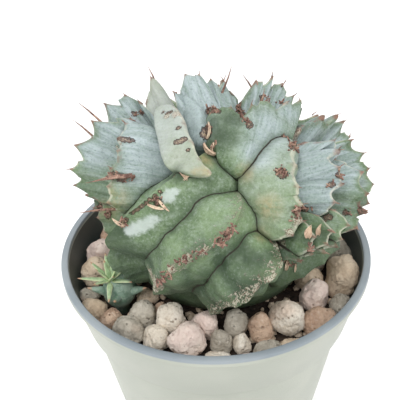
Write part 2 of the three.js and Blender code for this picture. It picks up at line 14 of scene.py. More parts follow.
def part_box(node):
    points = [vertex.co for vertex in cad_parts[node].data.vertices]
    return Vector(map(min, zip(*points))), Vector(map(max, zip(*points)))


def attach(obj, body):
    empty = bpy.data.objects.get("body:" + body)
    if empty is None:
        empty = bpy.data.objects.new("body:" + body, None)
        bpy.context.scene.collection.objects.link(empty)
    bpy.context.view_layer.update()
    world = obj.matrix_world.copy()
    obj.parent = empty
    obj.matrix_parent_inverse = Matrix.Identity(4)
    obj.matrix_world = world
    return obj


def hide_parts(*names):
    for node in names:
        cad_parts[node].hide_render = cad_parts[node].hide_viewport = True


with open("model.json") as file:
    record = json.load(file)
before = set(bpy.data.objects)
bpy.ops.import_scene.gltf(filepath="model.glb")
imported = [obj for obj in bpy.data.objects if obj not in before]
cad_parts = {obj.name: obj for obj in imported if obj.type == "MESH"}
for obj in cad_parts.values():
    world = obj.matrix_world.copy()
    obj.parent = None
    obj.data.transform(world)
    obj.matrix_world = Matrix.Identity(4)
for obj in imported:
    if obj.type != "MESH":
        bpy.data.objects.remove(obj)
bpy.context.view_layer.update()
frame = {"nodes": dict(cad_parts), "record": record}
mm = 0.001
scene = bpy.context.scene


# Camera and rays

camera = {
    "place": (0, -0.1615, 0.2192),
    "turn": 1.54,  # degrees to the left of straight ahead
    "down": 35.12,
    "roll": -2.65,
    "lens": 54,
    "frame": 400,  # pixels along each side of the picture
}


def makeCamera():
    data = bpy.data.cameras.new("camera")
    data.lens = camera["lens"]
    seen = bpy.data.objects.new("camera", data)
    seen.matrix_world = (
        Matrix.Translation(camera["place"])
        @ Matrix.Rotation(math.radians(camera["turn"]), 4, "Z")
        @ Matrix.Rotation(math.radians(90 - camera["down"]), 4, "X")
        @ Matrix.Rotation(math.radians(camera["roll"]), 4, "Z")
    )
    scene.collection.objects.link(seen)
    scene.camera = seen
    return seen


eye = makeCamera()


def sightLine(pixel):
    # start and direction of the line of sight through a pixel, in millimetres
    half = camera["frame"] / 2
    reach = camera["frame"] * camera["lens"] / 36
    way = Vector(((pixel[0] - half) / reach, (half - pixel[1]) / reach, -1))
    return eye.matrix_world.translation / mm, (eye.matrix_world.to_3x3() @ way).normalized()


# Materials

def rgb(red, green, blue):
    # an 8 bit colour as the linear one that a shader takes
    def linear(value):
        share = value / 255
        return share / 12.92 if share <= 0.04045 else ((share + 0.055) / 1.055) ** 2.4
    return (linear(red), linear(green), linear(blue), 1)


class Wire:
    # a value that joins in sums: each operator adds a Math node
    def __init__(self, shade, socket):
        self.shade = shade
        self.socket = socket

    def sum(self, operation, first, second):
        return self.shade.node("ShaderNodeMath", {"operation": operation}, {0: first, 1: second})

    def __add__(self, other):
        return self.sum("ADD", self, other)

    def __radd__(self, other):
        return self.sum("ADD", other, self)

    def __sub__(self, other):
        return self.sum("SUBTRACT", self, other)

    def __rsub__(self, other):
        return self.sum("SUBTRACT", other, self)

    def __mul__(self, other):
        return self.sum("MULTIPLY", self, other)

    def between(self, low, high):
        # 0 at low, 1 at high and a smooth step between; high may be the smaller number
        return self.shade.node("ShaderNodeMapRange", {"interpolation_type": "SMOOTHSTEP"},
                               {"Value": self, "From Min": low, "From Max": high})

    def fade(self, low, high, first, second):
        # the first tone at low, the second at high
        return self.shade.mix(self.between(low, high), first, second)


class Shade:
    # one material and the nodes that are added to it
    def __init__(self, name):
        self.material = bpy.data.materials.new(name)
        self.material.use_nodes = True
        self.tree = self.material.node_tree
        self.surface = self.tree.nodes["Principled BSDF"]
        self.place = self.node("ShaderNodeTexCoord", output="Object")

    def node(self, kind, settings=None, inputs=None, output=0):
        made = self.tree.nodes.new(kind)
        for name, value in (settings or {}).items():
            setattr(made, name, value)
        for name, value in (inputs or {}).items():
            self.feed(made.inputs[name], value)
        return Wire(self, made.outputs[output])

    def feed(self, socket, value):
        if isinstance(value, Wire):
            self.tree.links.new(value.socket, socket)
        else:
            socket.default_value = value

    def attribute(self, name, output="Vector"):
        return self.node("ShaderNodeAttribute", {"attribute_name": name}, output=output)

    def split(self, vector):
        parts = self.tree.nodes.new("ShaderNodeSeparateXYZ")
        self.feed(parts.inputs[0], vector)
        return [Wire(self, socket) for socket in parts.outputs]

    def join(self, x, y, z):
        return self.node("ShaderNodeCombineXYZ", None, {0: x, 1: y, 2: z})

    def noise(self, scale, detail=3, roughness=0.55, vector=None):
        return self.node("ShaderNodeTexNoise", None, {
            "Vector": vector or self.place, "Scale": scale, "Detail": detail, "Roughness": roughness})

    def cells(self, scale, vector=None):
        return self.node("ShaderNodeTexVoronoi", None, {"Vector": vector or self.place, "Scale": scale})

    def softCells(self, scale, smoothness):
        return self.node("ShaderNodeTexVoronoi", {"feature": "SMOOTH_F1"},
                         {"Vector": self.place, "Scale": scale, "Smoothness": smoothness})

    def mix(self, factor, first, second):
        return self.node("ShaderNodeMix", {"data_type": "RGBA"}, {0: factor, 6: first, 7: second}, output=2)

    def coats(self, tone, *layers):
        # tones laid one over another, each with its cover
        for cover, coat in layers:
            tone = self.mix(cover, tone, coat)
        return tone

    def bump(self, height, depth, under=None):
        inputs = {"Height": height, "Distance": depth, "Strength": 1}
        if under is not None:
            inputs["Normal"] = under
        return self.node("ShaderNodeBump", None, inputs)

    def finish(self, **sockets):
        for name, value in sockets.items():
            self.feed(self.surface.inputs[name.replace("_", " ")], value)
        return self.material


# the darkest green serves both as dark mottling and as painted shade; the light green serves both as flesh and as
# the painted highlight on blister tops
skinColours = {
    "green": rgb(85, 106, 76),
    "brightGreenAndHighlight": rgb(116, 138, 100),
    "grey": rgb(148, 163, 146),
    "blue": rgb(158, 172, 174),
    "darkGreenAndShade": rgb(48, 66, 46),
    "frost": rgb(190, 202, 206),
    "shade": rgb(112, 134, 116),
    "scab": rgb(168, 146, 122),
    "white": rgb(190, 200, 196),
    "cream": rgb(196, 190, 172),
    "pale": rgb(176, 184, 166),
    "tinge": rgb(166, 146, 96),
    "scar": rgb(114, 84, 70),
    "dark": rgb(66, 46, 38),
    "crevice": rgb(44, 40, 30),
    "margin": rgb(200, 198, 180),
    "tip": rgb(140, 100, 84),
}


def plantSkin():
    skin = Shade("plantSkin")
    c = skinColours
    toothAt, depth, seed = skin.split(skin.attribute("rib"))
    wax, white, scar = skin.split(skin.attribute("tintAndPaintedLight"))
    nearRib = skin.attribute("tintAndPaintedLight", "Alpha")
    dome, tipShare, fin = skin.split(skin.attribute("growth"))
    crust, pale, tinge = skin.split(skin.attribute("wearAndShade"))
    height = skin.split(skin.place)[2]
    clouds = skin.noise(55, 4, 0.6)
    fine = skin.noise(420, 5, 0.7)
    speck = skin.noise(1300, 3, 0.7)
    dust = skin.noise(2300, 2, 0.6)
    veins = skin.noise(1.6, 4, 0.65, skin.join(toothAt * 8 + clouds * 3 + fine * 0.5, depth * 0.06, seed))
    streaks = skin.noise(1.6, 2, 0.5, skin.join(toothAt * 2.6 + clouds * 2, depth * 0.04, seed + 5))
    bumps = skin.softCells(250, 0.8)

    # green flesh, finely mottled, with a painted highlight on the blister tops and painted shade in the hollows
    # between them, under a blue-grey wax that the crests have less of
    unevenDepth = depth + (clouds - 0.5) * 4
    thin = unevenDepth.between(3.4, 0.2) * fin
    waxed = (wax - thin * 0.4 + (clouds - 0.5) * 0.55 + (fine - 0.5) * 0.35).between(0.1, 0.85)
    leaf = skin.coats(
        clouds.fade(0.36, 0.64, c["green"], c["brightGreenAndHighlight"]),
        (fine.between(0.42, 0.72) * 0.5, c["grey"]),
        # painted highlight on the blister tops, then painted shade in the hollows between blisters
        ((dome + (bumps - 0.4) * 0.3).between(0.05, 0.4) * 0.55, c["brightGreenAndHighlight"]),
        (dome.between(-0.02, -0.3) * 0.5, c["darkGreenAndShade"]),
        (waxed * 0.9, wax.fade(0.2, 0.75, c["grey"], c["blue"])),
        (veins.between(0.53, 0.7) * fin * waxed * 0.6, c["frost"]),
        (veins.between(0.48, 0.34) * fin * 0.4, c["shade"]),
        (streaks.between(0.52, 0.62) * fin * waxed * 0.4, c["frost"]),
        (streaks.between(0.48, 0.38) * fin * 0.4, c["shade"]),
        (speck.between(0.5, 0.72) * 0.26, c["white"]),
        (speck.between(0.48, 0.3) * 0.36, c["darkGreenAndShade"]),
    )
    # pale ribs and olive stains, then painted shade low on the plant and painted shade where the stain channel is
    # below zero
    leaf = skin.coats(
        leaf,
        (pale.between(0.15, 0.6) * 0.85, skin.mix(fine, c["pale"], c["cream"])),
        (tinge * fine.between(0.3, 0.6) * 0.65, c["tinge"]),
        # painted shade: darker towards the bottom of the plant
        (height.between(0.12, 0.09) * 0.6, c["darkGreenAndShade"]),
        ((tinge + (fine - 0.5) * 0.3).between(0, -0.9) * 0.7, c["darkGreenAndShade"]),
    )
    # along the crests a thin pale margin with worn brown spots, and brown tips on the teeth
    rim = (depth + (fine - 0.5) * 1.4).between(0.55, 0.1) * fin.between(0.05, 0.4)
    worn = unevenDepth.between(1.2, 0.3) * fin * (fine + (speck - 0.5) * 0.5).between(0.53, 0.64)
    toothTip = (depth + (1 - tipShare) * 4 + (fine - 0.5) * 1.6).between(1.7, 0.5) * fin
    leaf = skin.coats(
        leaf,
        (rim * clouds.between(0.4, 0.6) * 0.6, c["margin"]),
        (worn * 0.75, c["scar"]),
        (toothTip * 0.85, fine.fade(0.4, 0.6, c["tip"], c["scar"])),
    )
    # smooth white patches, speckled cream crust, brown scars, then painted shade near other ribs and a thin dark
    # line of painted shade in the crease where ribs meet
    crusted = (crust + (speck - 0.5) * 1.5 + (fine - 0.5) * 0.8).between(0.48, 0.62)
    scarEdge = scar + (fine - 0.5) * 0.9 + (speck - 0.5) * 0.7
    scarred = scarEdge.between(0.42, 0.54)
    scab = scarEdge.fade(0.74, 0.6, speck.fade(0.44, 0.56, c["scab"], c["dark"]),
                         dust.fade(0.4, 0.62, c["scar"], c["dark"]))
    leaf = skin.coats(
        leaf,
        ((white + (fine - 0.5) * 0.6 + (speck - 0.5) * 0.4).between(0.12, 0.66) * 0.7, c["white"]),
        (crusted * 0.7, dust.fade(0.46, 0.6, c["cream"], c["scar"])),
        (scarred * 0.85, scab),
        # painted shade near other ribs, then the dark crease line of painted shade
        (nearRib.between(0.5, 1) * 0.5, c["darkGreenAndShade"]),
        ((nearRib + (fine - 0.5) * 0.05).between(0.925, 0.98), c["crevice"]),
    )
    relief = skin.bump(veins * fin, 0.0004)
    relief = skin.bump(fine + scarred * 0.3, 0.0006, relief)
    relief = skin.bump(speck * (0.3 + crusted + scarred), 0.00025, relief)
    return skin.finish(
        Base_Color=leaf, Normal=relief, Roughness=0.56 + crusted * 0.25 + (fine - 0.5) * 0.2,
        Subsurface_Weight=0.06, Subsurface_Radius=(0.6, 1, 0.4), Subsurface_Scale=0.0012, Specular_IOR_Level=0.35,
    )


def woodySpine():
    # brown stalks and spines, paler along their ridges
    spine = Shade("woodySpine")
    grain = spine.noise(700, 4, 0.65)
    fibres = spine.noise(3000, 2, 0.6)
    tone = spine.coats(
        grain.fade(0.38, 0.6, rgb(96, 66, 58), rgb(152, 118, 102)),
        (grain.between(0.58, 0.72) * 0.8, rgb(206, 186, 164)),
        (fibres.between(0.55, 0.7) * 0.5, rgb(196, 172, 152)),
    )
    relief = spine.bump(fibres + grain * 0.5, 0.0002)
    return spine.finish(Base_Color=tone, Normal=relief, Roughness=0.68 + (grain - 0.5) * 0.3)


def dryBract():
    # thin dry leaf scraps, tan to pink
    bract = Shade("dryBract")
    grain = bract.noise(260, 4, 0.65)
    fibres = bract.noise(1500, 3, 0.6)
    tone = bract.mix(fibres.between(0.52, 0.7) * 0.7,
                     grain.fade(0.35, 0.65, rgb(196, 168, 144), rgb(222, 204, 178)), rgb(132, 94, 78))
    relief = bract.bump(fibres, 0.0002)
    return bract.finish(Base_Color=tone, Normal=relief, Roughness=0.6 + (grain - 0.5) * 0.3)


def shootSkin():
    # young growth: blue-green flesh, yellow-green leaves with pale edges, tan points
    shoot = Shade("shootSkin")
    along, young, edge = shoot.split(shoot.attribute("leaf"))
    clouds = shoot.noise(260, 3, 0.6)
    fine = shoot.noise(1200, 3, 0.6)
    tone = shoot.coats(
        clouds.fade(0.36, 0.64, rgb(100, 128, 110), rgb(148, 170, 154)),
        (young, clouds.fade(0.35, 0.65, rgb(138, 166, 122), rgb(176, 198, 156))),
        (edge.between(0.45, 0.95) * young * 0.7, rgb(216, 222, 180)),
        (fine.between(0.5, 0.72) * 0.4, rgb(204, 214, 196)),
        ((along + (fine - 0.5) * 0.2).between(0.84, 0.94), rgb(190, 152, 122)),
    )
    relief = shoot.bump(fine, 0.0002)
    return shoot.finish(Base_Color=tone, Normal=relief, Roughness=0.52 + (fine - 0.5) * 0.2,
                        Subsurface_Weight=0.1, Subsurface_Radius=(0.6, 1, 0.4), Subsurface_Scale=0.001)


# body, crust and hollows of each kind of stone
stoneTones = {
    "stone_tan": (rgb(214, 192, 166), rgb(230, 212, 188), rgb(150, 122, 96)),
    "stone_rust": (rgb(188, 156, 134), rgb(212, 184, 160), rgb(146, 110, 88)),
    "stone_pink": (rgb(224, 204, 194), rgb(238, 222, 210), rgb(184, 150, 134)),
    "stone_grey": (rgb(172, 164, 150), rgb(198, 191, 177), rgb(126, 116, 100)),
    "stone_cream": (rgb(226, 214, 196), rgb(240, 232, 218), rgb(180, 158, 134)),
}


def porousStone(slot):
    body, crust, hollow = stoneTones[slot]
    stone = Shade(slot)
    clouds = stone.noise(120, 4, 0.6)
    drift = stone.noise(60, 2, 0.5)
    grain = stone.noise(900, 5, 0.75)
    pores = stone.cells(520, stone.node("ShaderNodeVectorMath", {"operation": "ADD"}, {
        0: stone.place, 1: stone.join(grain * 0.001, grain * 0.0006, grain * 0.0008)}))
    holes = (pores + (grain - 0.5) * 0.5).between(0.22, 0.1) * clouds.between(0.42, 0.55)
    tone = stone.coats(
        clouds.fade(0.36, 0.62, body, crust),
        (drift.between(0.52, 0.7) * 0.45, rgb(214, 176, 150)),
        (grain.between(0.5, 0.7) * 0.4, hollow),
        (grain.between(0.46, 0.3) * 0.35, rgb(244, 238, 228)),
        (holes * 0.7, hollow),
    )
    relief = stone.bump(clouds, 0.0012)
    relief = stone.bump(grain - holes * 0.9, 0.0007, relief)
    return stone.finish(Base_Color=tone, Normal=relief, Roughness=0.88 + (grain - 0.5) * 0.2,
                        Specular_IOR_Level=0.25)


def pottingMix():
    soil = Shade("pottingMix")
    clumps = soil.noise(240, 4, 0.65)
    crumbs = soil.cells(520)
    tone = soil.mix(crumbs.between(0.25, 0.1) * 0.4,
                    clumps.fade(0.35, 0.65, rgb(36, 29, 24), rgb(66, 53, 43)), rgb(110, 92, 76))
    relief = soil.bump(clumps + crumbs * 0.6, 0.0014)
    return soil.finish(Base_Color=tone, Normal=relief, Roughness=0.95)


def potPlastic():
    # grey outside, a blue-grey top of the lip and a darker inner wall
    plastic = Shade("potPlastic")
    inner, lip, _ = plastic.split(plastic.attribute("side"))
    cloud = plastic.noise(38, 3, 0.5)
    grain = plastic.noise(2600, 3, 0.6)
    scuffs = plastic.noise(1, 4, 0.6, plastic.node("ShaderNodeMapping", None, {
        "Vector": plastic.place, "Scale": (60, 60, 420)}))
    tone = plastic.coats(
        cloud.fade(0.35, 0.65, rgb(160, 164, 153), rgb(170, 173, 162)),
        (grain.between(0.55, 0.75) * 0.25, rgb(162, 165, 154)),
        (lip.between(0.6, 0.85), cloud.fade(0.4, 0.6, rgb(130, 139, 145), rgb(144, 152, 157))),
        (inner.between(0.4, 0.6), cloud.fade(0.4, 0.6, rgb(66, 74, 73), rgb(84, 91, 88))),
    )
    relief = plastic.bump(grain, 0.00008)
    relief = plastic.bump(scuffs.between(0.6, 0.8), 0.00006, relief)
    return plastic.finish(Base_Color=tone, Normal=relief, Roughness=0.42 + (cloud - 0.5) * 0.15,
                          Specular_IOR_Level=0.45)


def palePaper():
    paper = Shade("palePaper")
    tone = paper.mix(paper.noise(400, 3, 0.6), rgb(251, 251, 251), rgb(254, 254, 254))
    return paper.finish(Base_Color=tone, Roughness=0.9, Specular_IOR_Level=0.1)


# Mesh helpers

def piece(name, shape, material, slot=None, replaced=(), smooth=True):
    # turns a bmesh into a piece that rides on the frame
    mesh = bpy.data.meshes.new(name)
    shape.to_mesh(mesh)
    shape.free()
    mesh.materials.append(material)
    mesh.polygons.foreach_set("use_smooth", [smooth] * len(mesh.polygons))
    made = bpy.data.objects.new(name, mesh)
    scene.collection.objects.link(made)
    if slot:
        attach(made, "root")
    if replaced:
        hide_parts(*replaced)
    return made


def outward(shape):
    # turns a closed shape the right way out
    if shape.calc_volume(signed=True) < 0:
        bmesh.ops.reverse_faces(shape, faces=shape.faces)
    return shape


def applied(source):
    # the mesh of an object with its modifiers applied; the object goes
    graph = bpy.context.evaluated_depsgraph_get()
    mesh = bpy.data.meshes.new_from_object(source.evaluated_get(graph))
    shape = bmesh.new()
    shape.from_mesh(mesh)
    bpy.data.meshes.remove(mesh)
    bpy.data.objects.remove(source)
    return shape


def loose(name, shape):
    # an object that is only worked on
    mesh = bpy.data.meshes.new(name)
    shape.to_mesh(mesh)
    shape.free()
    return bpy.data.objects.new(name, mesh)


def combined(first, others, operation, solver):
    # one closed body from a first body and those that are joined to it or cut out of it
    group = bpy.data.collections.new("others")
    scene.collection.children.link(group)
    for other in others:
        group.objects.link(other)
    scene.collection.objects.link(first)
    change = first.modifiers.new("change", "BOOLEAN")
    change.operation = operation
    change.operand_type = "COLLECTION"
    change.collection = group
    change.solver = solver
    shape = applied(first)
    for other in others:
        bpy.data.objects.remove(other)
    bpy.data.collections.remove(group)
    return shape


def turned(outline, steps):
    # a closed body of revolution from its outline of radius and height
    shape = bmesh.new()
    verts = [shape.verts.new((r, 0, z)) for r, z in outline]
    for first, second in zip(verts, verts[1:]):
        shape.edges.new((first, second))
    bmesh.ops.spin(shape, geom=shape.verts[:] + shape.edges[:], cent=(0, 0, 0), axis=(0, 0, 1),
                   angle=2 * math.pi, steps=steps, use_merge=True)
    bmesh.ops.remove_doubles(shape, verts=shape.verts, dist=1e-5)
    bmesh.ops.recalc_face_normals(shape, faces=shape.faces)
    return shape


def inMetres(shape):
    bmesh.ops.scale(shape, vec=(mm, mm, mm), verts=shape.verts)
    return shape


def sharpen(shape, degrees):
    # edges that turn by more than this stay sharp
    for edge in shape.edges:
        edge.smooth = len(edge.link_faces) < 2 or edge.calc_face_angle() < math.radians(degrees)
    return shape


def placeTree(places):
    # finds places by their number in the list
    tree = KDTree(len(places))
    for index, place in enumerate(places):
        tree.insert(place, index)
    tree.balance()
    return tree


def nearest(tree, place, reach):
    # how far a place is from a surface, at most reach
    found = tree.find_nearest(place, reach)
    return reach if found[0] is None else min(reach, found[3])


def clamp(value):
    return max(0, min(1, value))


def latitude(point):
    # where a point of a unit sphere is between its poles, 0 to 1
    return math.acos(max(-1, min(1, point.z))) / math.pi


# The plant: ribs on an ellipsoid, in millimetres. A point is [azimuth, elevation, reach], and the reach of a root
# point that has none is rootReach.

plant = {
    "centre": Vector((2, 1, 105)),
    "radii": Vector((48.5, 41, 34)),
    "neckRadius": 16,
    "neckFloor": 62,
    "barrelRadius": 31,
    "barrelFoot": 74,
    "barrelWide": 1.06,
    "barrelDeep": 0.96,
    "ridge": 2.4,
    "blister": 5.5,
    "backTeeth": 7,
    "backFoot": -48,
    "rowsPerTooth": 12,
    "around": 48,
    "backRowsPerTooth": 8,
    "backAround": 24,
    "rootReach": 0.5,
    "innerDepth": 40,  # the barrel counts as this far below any crest
    "toothSizes": (0.45, 1.15),
    "finFullness": (2.4, 1.1),  # from no fin to a full fin: the fullness at none, and how much less at full
    "waveFullness": (1.9, 0.7),
    "swells": ((9, 1.1), (3, 0.3)),  # size across and height
    "blisterDome": (0.7, 1.4),
    "blistersBelow": 128,
    "blistersFade": 25,
    "seedStep": 3.7,
}

ribNumbers = ("teeth", "notch", "thick", "edge", "fullness", "spine", "wax", "cork")


def asRib(crest, root, *numbers, **more):
    # Lines of the crest and the root, then the numbers: teeth, depth of the notches, half thickness, half edge,
    # fullness, length of the spines, wax and cork on the crest. Some have more: pale (a pale tone), square (blunt
    # ends), soft (no painted shade line beside it), blisters (height of the swellings) or back (fewer faces).
    return {"crest": crest, "root": root, **dict(zip(ribNumbers, numbers)), **more}


ribs = {
    "frontLeft": asRib(
        [[-97, 63, 0.98], [-100, 57, 1.04], [-89, 54, 1.05], [-72, 52, 1.05], [-63, 49, 1.05], [-57, 43, 1.05],
        [-52, 37, 1.05], [-49, 31, 1.05], [-47, 25, 1.03], [-42, 19, 0.97]],
        [[-100, 70, 0.6], [-56, 56, 0.6], [-46, 40, 0.55], [-40, 22]],
        8, 1.8, 7, 0.9, 1.7, 3, 0.4, 0.2),
    "farLeft": asRib(
        [[-110, 58, 1.08], [-99, 51, 1.18], [-91, 42, 1.18], [-87, 30, 1.1], [-86, 20, 1.04], [-84, 12, 0.98],
        [-76, 4, 0.84]],
        [[-100, 64, 0.6], [-76, 38], [-70, 8]],
        6, 4.2, 5, 0.8, 1.2, 2.5, 0.3, 0),
    "behindLeft": asRib(
        [[-98, 36, 1.06], [-107, 48, 1.2], [-121, 53, 1.18], [-124, 56, 1.05], [-128, 64, 0.9]],
        [[-100, 40], [-112, 50], [-120, 62, 0.6]],
        5, 3.5, 4, 0.8, 1.2, 2, 0.6, 0),
    "paleBack": asRib(
        [[-128, 44, 0.98], [-136, 51, 1.12], [-141, 55, 1.23], [-146, 52, 1.1], [-150, 46, 0.95]],
        [[-126, 46, 0.45], [-140, 54, 0.45], [-146, 48, 0.45]],
        3, 2.5, 4, 0.8, 1.2, 2, 0.9, 0.3, pale=0.4),
    "ear": asRib(
        [[-121, 70, 1.02], [-66, 76, 1.07], [-39, 73, 1.08], [-26, 68, 1.08], [-17, 63, 1.08], [-12, 58, 1.09],
        [-8, 54, 1.1], [-4, 51, 1.11], [-2, 47, 1.12]],
        [[-132, 60, 0.92], [-103, 65, 0.9], [-65, 65, 0.9], [-44, 59, 0.92], [-31, 53, 0.95], [-24, 50, 0.98]],
        5, 0.6, 3, 0.9, 2, 0, 0.35, 0.2, pale=0.36, square=16),
    "column": asRib(
        [[-156, 62, 1], [-142, 70, 1.06], [-120, 79, 1.06], [-50, 82, 1.06], [-20, 75, 1.06], [-12, 68, 1.05],
        [-12, 62, 1]],
        [[-150, 66, 0.6], [-110, 74, 0.6], [-50, 66, 0.6]],
        5, 0.8, 6, 1.2, 2.4, 0, 0.6, 0.1, soft=True),
    "upperLeft": asRib(
        [[-95, 72, 0.96], [-118, 72, 1.08], [-138, 71, 1.15], [-158, 72, 1.23], [-168, 70, 1.12],
        [180, 71, 1.12], [166, 69, 1.13], [152, 66, 0.98]],
        [[-60, 72, 0.72], [-10, 82, 0.72], [150, 70, 0.6]],
        7, 3.4, 5, 0.8, 1.4, 3, 0.6, 0),
    "upperRight": asRib(
        [[160, 72, 0.96], [150, 66, 1.07], [143, 62, 1.18], [138, 58, 1.17], [132, 53, 1.12], [124, 50, 1.05],
        [118, 44, 0.95]],
        [[150, 74, 0.6], [136, 62, 0.55], [120, 46]],
        6, 3.8, 4.5, 0.8, 1.2, 3, 0.6, 0),
    "upperLeftPillow": asRib(
        [[-6, 72, 0.97], [-14, 58, 1], [-23, 46, 1], [-30, 36, 1], [-37, 25, 1], [-42, 13, 0.99],
        [-46, 0, 0.92], [-48, -12, 0.84]],
        [[0, 70], [0, 44], [-14, 30], [-30, 10]],
        7, 0.8, 11, 1.4, 3, 2, 0.1, 0, blisters=1.6),
    "fan": asRib(
        [[-33, 79, 1], [-45, 84, 1.04], [50, 88, 1.05], [56, 80, 1.03], [100, 75, 1.07], [95, 69, 1.05],
        [112, 60, 1.08], [116, 52, 1.09], [92, 55, 0.98]],
        [[-22, 74, 0.78], [12, 50, 0.82], [84, 60, 0.8]],
        8, 2.6, 6, 0.9, 1.8, 3, 0.05, 0),
    "rightPillow": asRib(
        [[76, 64, 1], [60, 58, 1.04], [44, 52, 1.05], [35, 44, 1.05], [32, 36, 1.05], [30, 29, 1.05],
        [27, 23, 1.05], [22, 18, 1.04], [18, 12, 1]],
        [[70, 60, 0.72], [27, 48, 0.68], [23, 32, 0.6], [16, 15]],
        8, 1.8, 9, 1, 2, 3, 0.2, 0.05, pale=0.24),
    "rightBlue": asRib(
        [[72, 57, 1], [79, 48, 1.03], [80, 41, 1.04], [64, 41, 1.03], [59, 34, 1.05], [50, 30, 1.04],
        [45, 23, 1.04], [39, 16, 0.98]],
        [[74, 52, 0.6], [52, 44, 0.55], [44, 30], [42, 16]],
        7, 2.4, 6, 0.9, 1.6, 3, 0.7, 0),
    "farRight": asRib(
        [[92, 44, 1.03], [97, 32, 1.07], [92, 22, 1.05], [86, 13, 1.04], [76, 5, 1.02], [68, -2, 0.94]],
        [[86, 46], [76, 26], [66, 2]],
        7, 3, 5, 0.8, 1.2, 2.5, 0.4, 0),
    "farRightFront": asRib(
        [[84, 38, 1], [78, 28, 1.04], [68, 19, 1.05], [62, 11, 1.04], [53, 6, 1.02], [47, 0, 0.95]],
        [[76, 38], [62, 24], [52, 4]],
        6, 2.8, 5, 0.8, 1.3, 2.5, 0.35, 0),
    "backRight": asRib(
        [[76, 60, 1], [98, 49, 1.07], [110, 37, 1.11], [110, 24, 1.07], [106, 8, 1]],
        [[90, 58, 0.55], [100, 34], [98, 8]],
        6, 3.4, 5, 0.8, 1.2, 2.5, 0.6, 0),
    "frontPillow": asRib(
        [[12, 47, 0.99], [8, 37, 1.02], [2, 27, 1.03], [-7, 18, 1.03], [-14, 11, 1.03], [-21, -1, 1.02],
        [-27, -20, 0.96], [-30, -42, 0.88]],
        [[8, 44], [-4, 24], [-18, -4], [-28, -40]],
        8, 0.8, 15, 1.6, 2.3, 2, 0.05, 0.5, blisters=2.6),
    "lowestPillow": asRib(
        [[24, 15, 0.97], [18, 8, 1.02], [10, 0, 1.04], [2, -11, 1.03], [-5, -27, 0.99], [-10, -46, 0.93]],
        [[26, 16], [10, 0], [0, -16], [-8, -44]],
        8, 0.8, 15, 1.6, 2.3, 2, 0, 0.6, blisters=3.4),
    "lowerRight": asRib(
        [[50, 13, 0.99], [43, 8, 1.04], [36, 8, 1.04], [30, 9, 1.03], [25, 6, 1.02], [20, 0, 0.98]],
        [[54, 12], [38, 4], [22, -6]],
        6, 2.4, 6, 0.9, 1.5, 2.5, 0.1, 0.3),
    "foldNear": asRib(
        [[36, 25, 0.95], [33, 20, 1.03], [31, 15, 1.05], [28, 10, 1.04], [23, 6, 0.98]],
        [[34, 22], [28, 10], [24, 6]],
        4, 1.6, 4, 0.9, 1.6, 2, 0.1, 0.3),
    "foldFar": asRib(
        [[43, 25, 0.95], [40, 20, 1.04], [38, 14, 1.06], [34, 10, 1.04], [29, 8, 0.98]],
        [[40, 22], [34, 12], [30, 8]],
        4, 1.6, 4, 0.9, 1.6, 2, 0.1, 0.2),
    "foldEdge": asRib(
        [[50, 26, 0.96], [49, 18, 1.05], [45, 13, 1.06], [41, 8, 1.04], [37, 4, 0.97]],
        [[47, 22], [43, 10], [38, 6]],
        4, 1.8, 4.5, 0.9, 1.6, 2, 0.2, 0.2),
    "lowerRightUnder": asRib(
        [[70, -6, 0.94], [58, -12, 0.92], [44, -20, 0.9], [30, -32, 0.88], [20, -48, 0.86]],
        [[66, -6], [46, -18], [24, -46]],
        6, 1, 9, 1.4, 2.6, 0, 0, 0.2),
    "sideLeft": asRib(
        [[-84, 12, 0.88], [-78, -4, 0.84], [-74, -20, 0.82], [-72, -42, 0.82]],
        [[-82, 10], [-76, -16], [-72, -40]],
        5, 2, 7, 1, 1.6, 2, 0.1, 0.2),
    "sideLeftBack": asRib(
        [[-100, 26, 0.98], [-97, 6, 0.95], [-95, -14, 0.88], [-94, -40, 0.82]],
        [[-96, 24], [-95, -8], [-94, -38]],
        6, 3, 6, 0.9, 1.4, 2.5, 0.2, 0.1),
    "sideRight": asRib(
        [[102, 16, 0.98], [98, 0, 0.94], [94, -18, 0.88], [92, -42, 0.82]],
        [[100, 14], [95, -14], [92, -40]],
        6, 3, 6, 0.9, 1.4, 2.5, 0.2, 0.1),
    "sideRightFront": asRib(
        [[84, 2, 0.94], [78, -14, 0.9], [72, -28, 0.86], [68, -46, 0.82]],
        [[82, 0], [74, -24], [68, -44]],
        5, 2, 7, 1, 1.6, 2, 0.1, 0.2),
    "lowerLeft": asRib(
        [[-52, 6, 0.9], [-48, -8, 0.9], [-44, -24, 0.88], [-42, -46, 0.84]],
        [[-50, 6], [-46, -14], [-42, -44]],
        6, 1, 9, 1.4, 2.6, 0, 0, 0.2, blisters=1.5),
}

# the ribs round the back follow the meridians: azimuth, elevation of the top, reach, lean
backRibs = [
    [-110, 36, 1.05, -6], [-125, 44, 1.07, 6], [-140, 44, 1.05, -6], [-155, 52, 1.09, 7], [-170, 58, 1.09, -7],
    [175, 62, 1.1, 7], [160, 56, 1.1, -7], [145, 50, 1.08, 7], [130, 42, 1.07, -6], [116, 34, 1.05, 5],
]

# spines that are longer than their neighbours: root and tip
longSpines = [
    [[-45, 43, 1.02], [-52, 36, 1.2]], [[-47, 43, 1.02], [-52, 37, 1.16]],
    [[-94, 48, 1.06], [-95, 50, 1.36]], [[-92, 41, 1.04], [-93, 44, 1.27]],
    [[-47, 26, 0.94], [-49, 25, 1.19]], [[-142, 53, 1.08], [-142, 56, 1.33]], [[178, 76, 0.96], [164, 72, 1.25]],
    [[145, 62, 0.98], [157, 67, 1.16]], [[100, 74, 0.95], [101, 75, 1.16]],
]


def plantPoint(point):
    azimuth, elevation = math.radians(point[0]), math.radians(point[1])
    flat = math.cos(elevation)
    way = Vector((math.sin(azimuth) * flat, -math.cos(azimuth) * flat, math.sin(elevation)))
    reach = point[2] if len(point) > 2 else plant["rootReach"]
    return plant["centre"] + way * plant["radii"] * reach


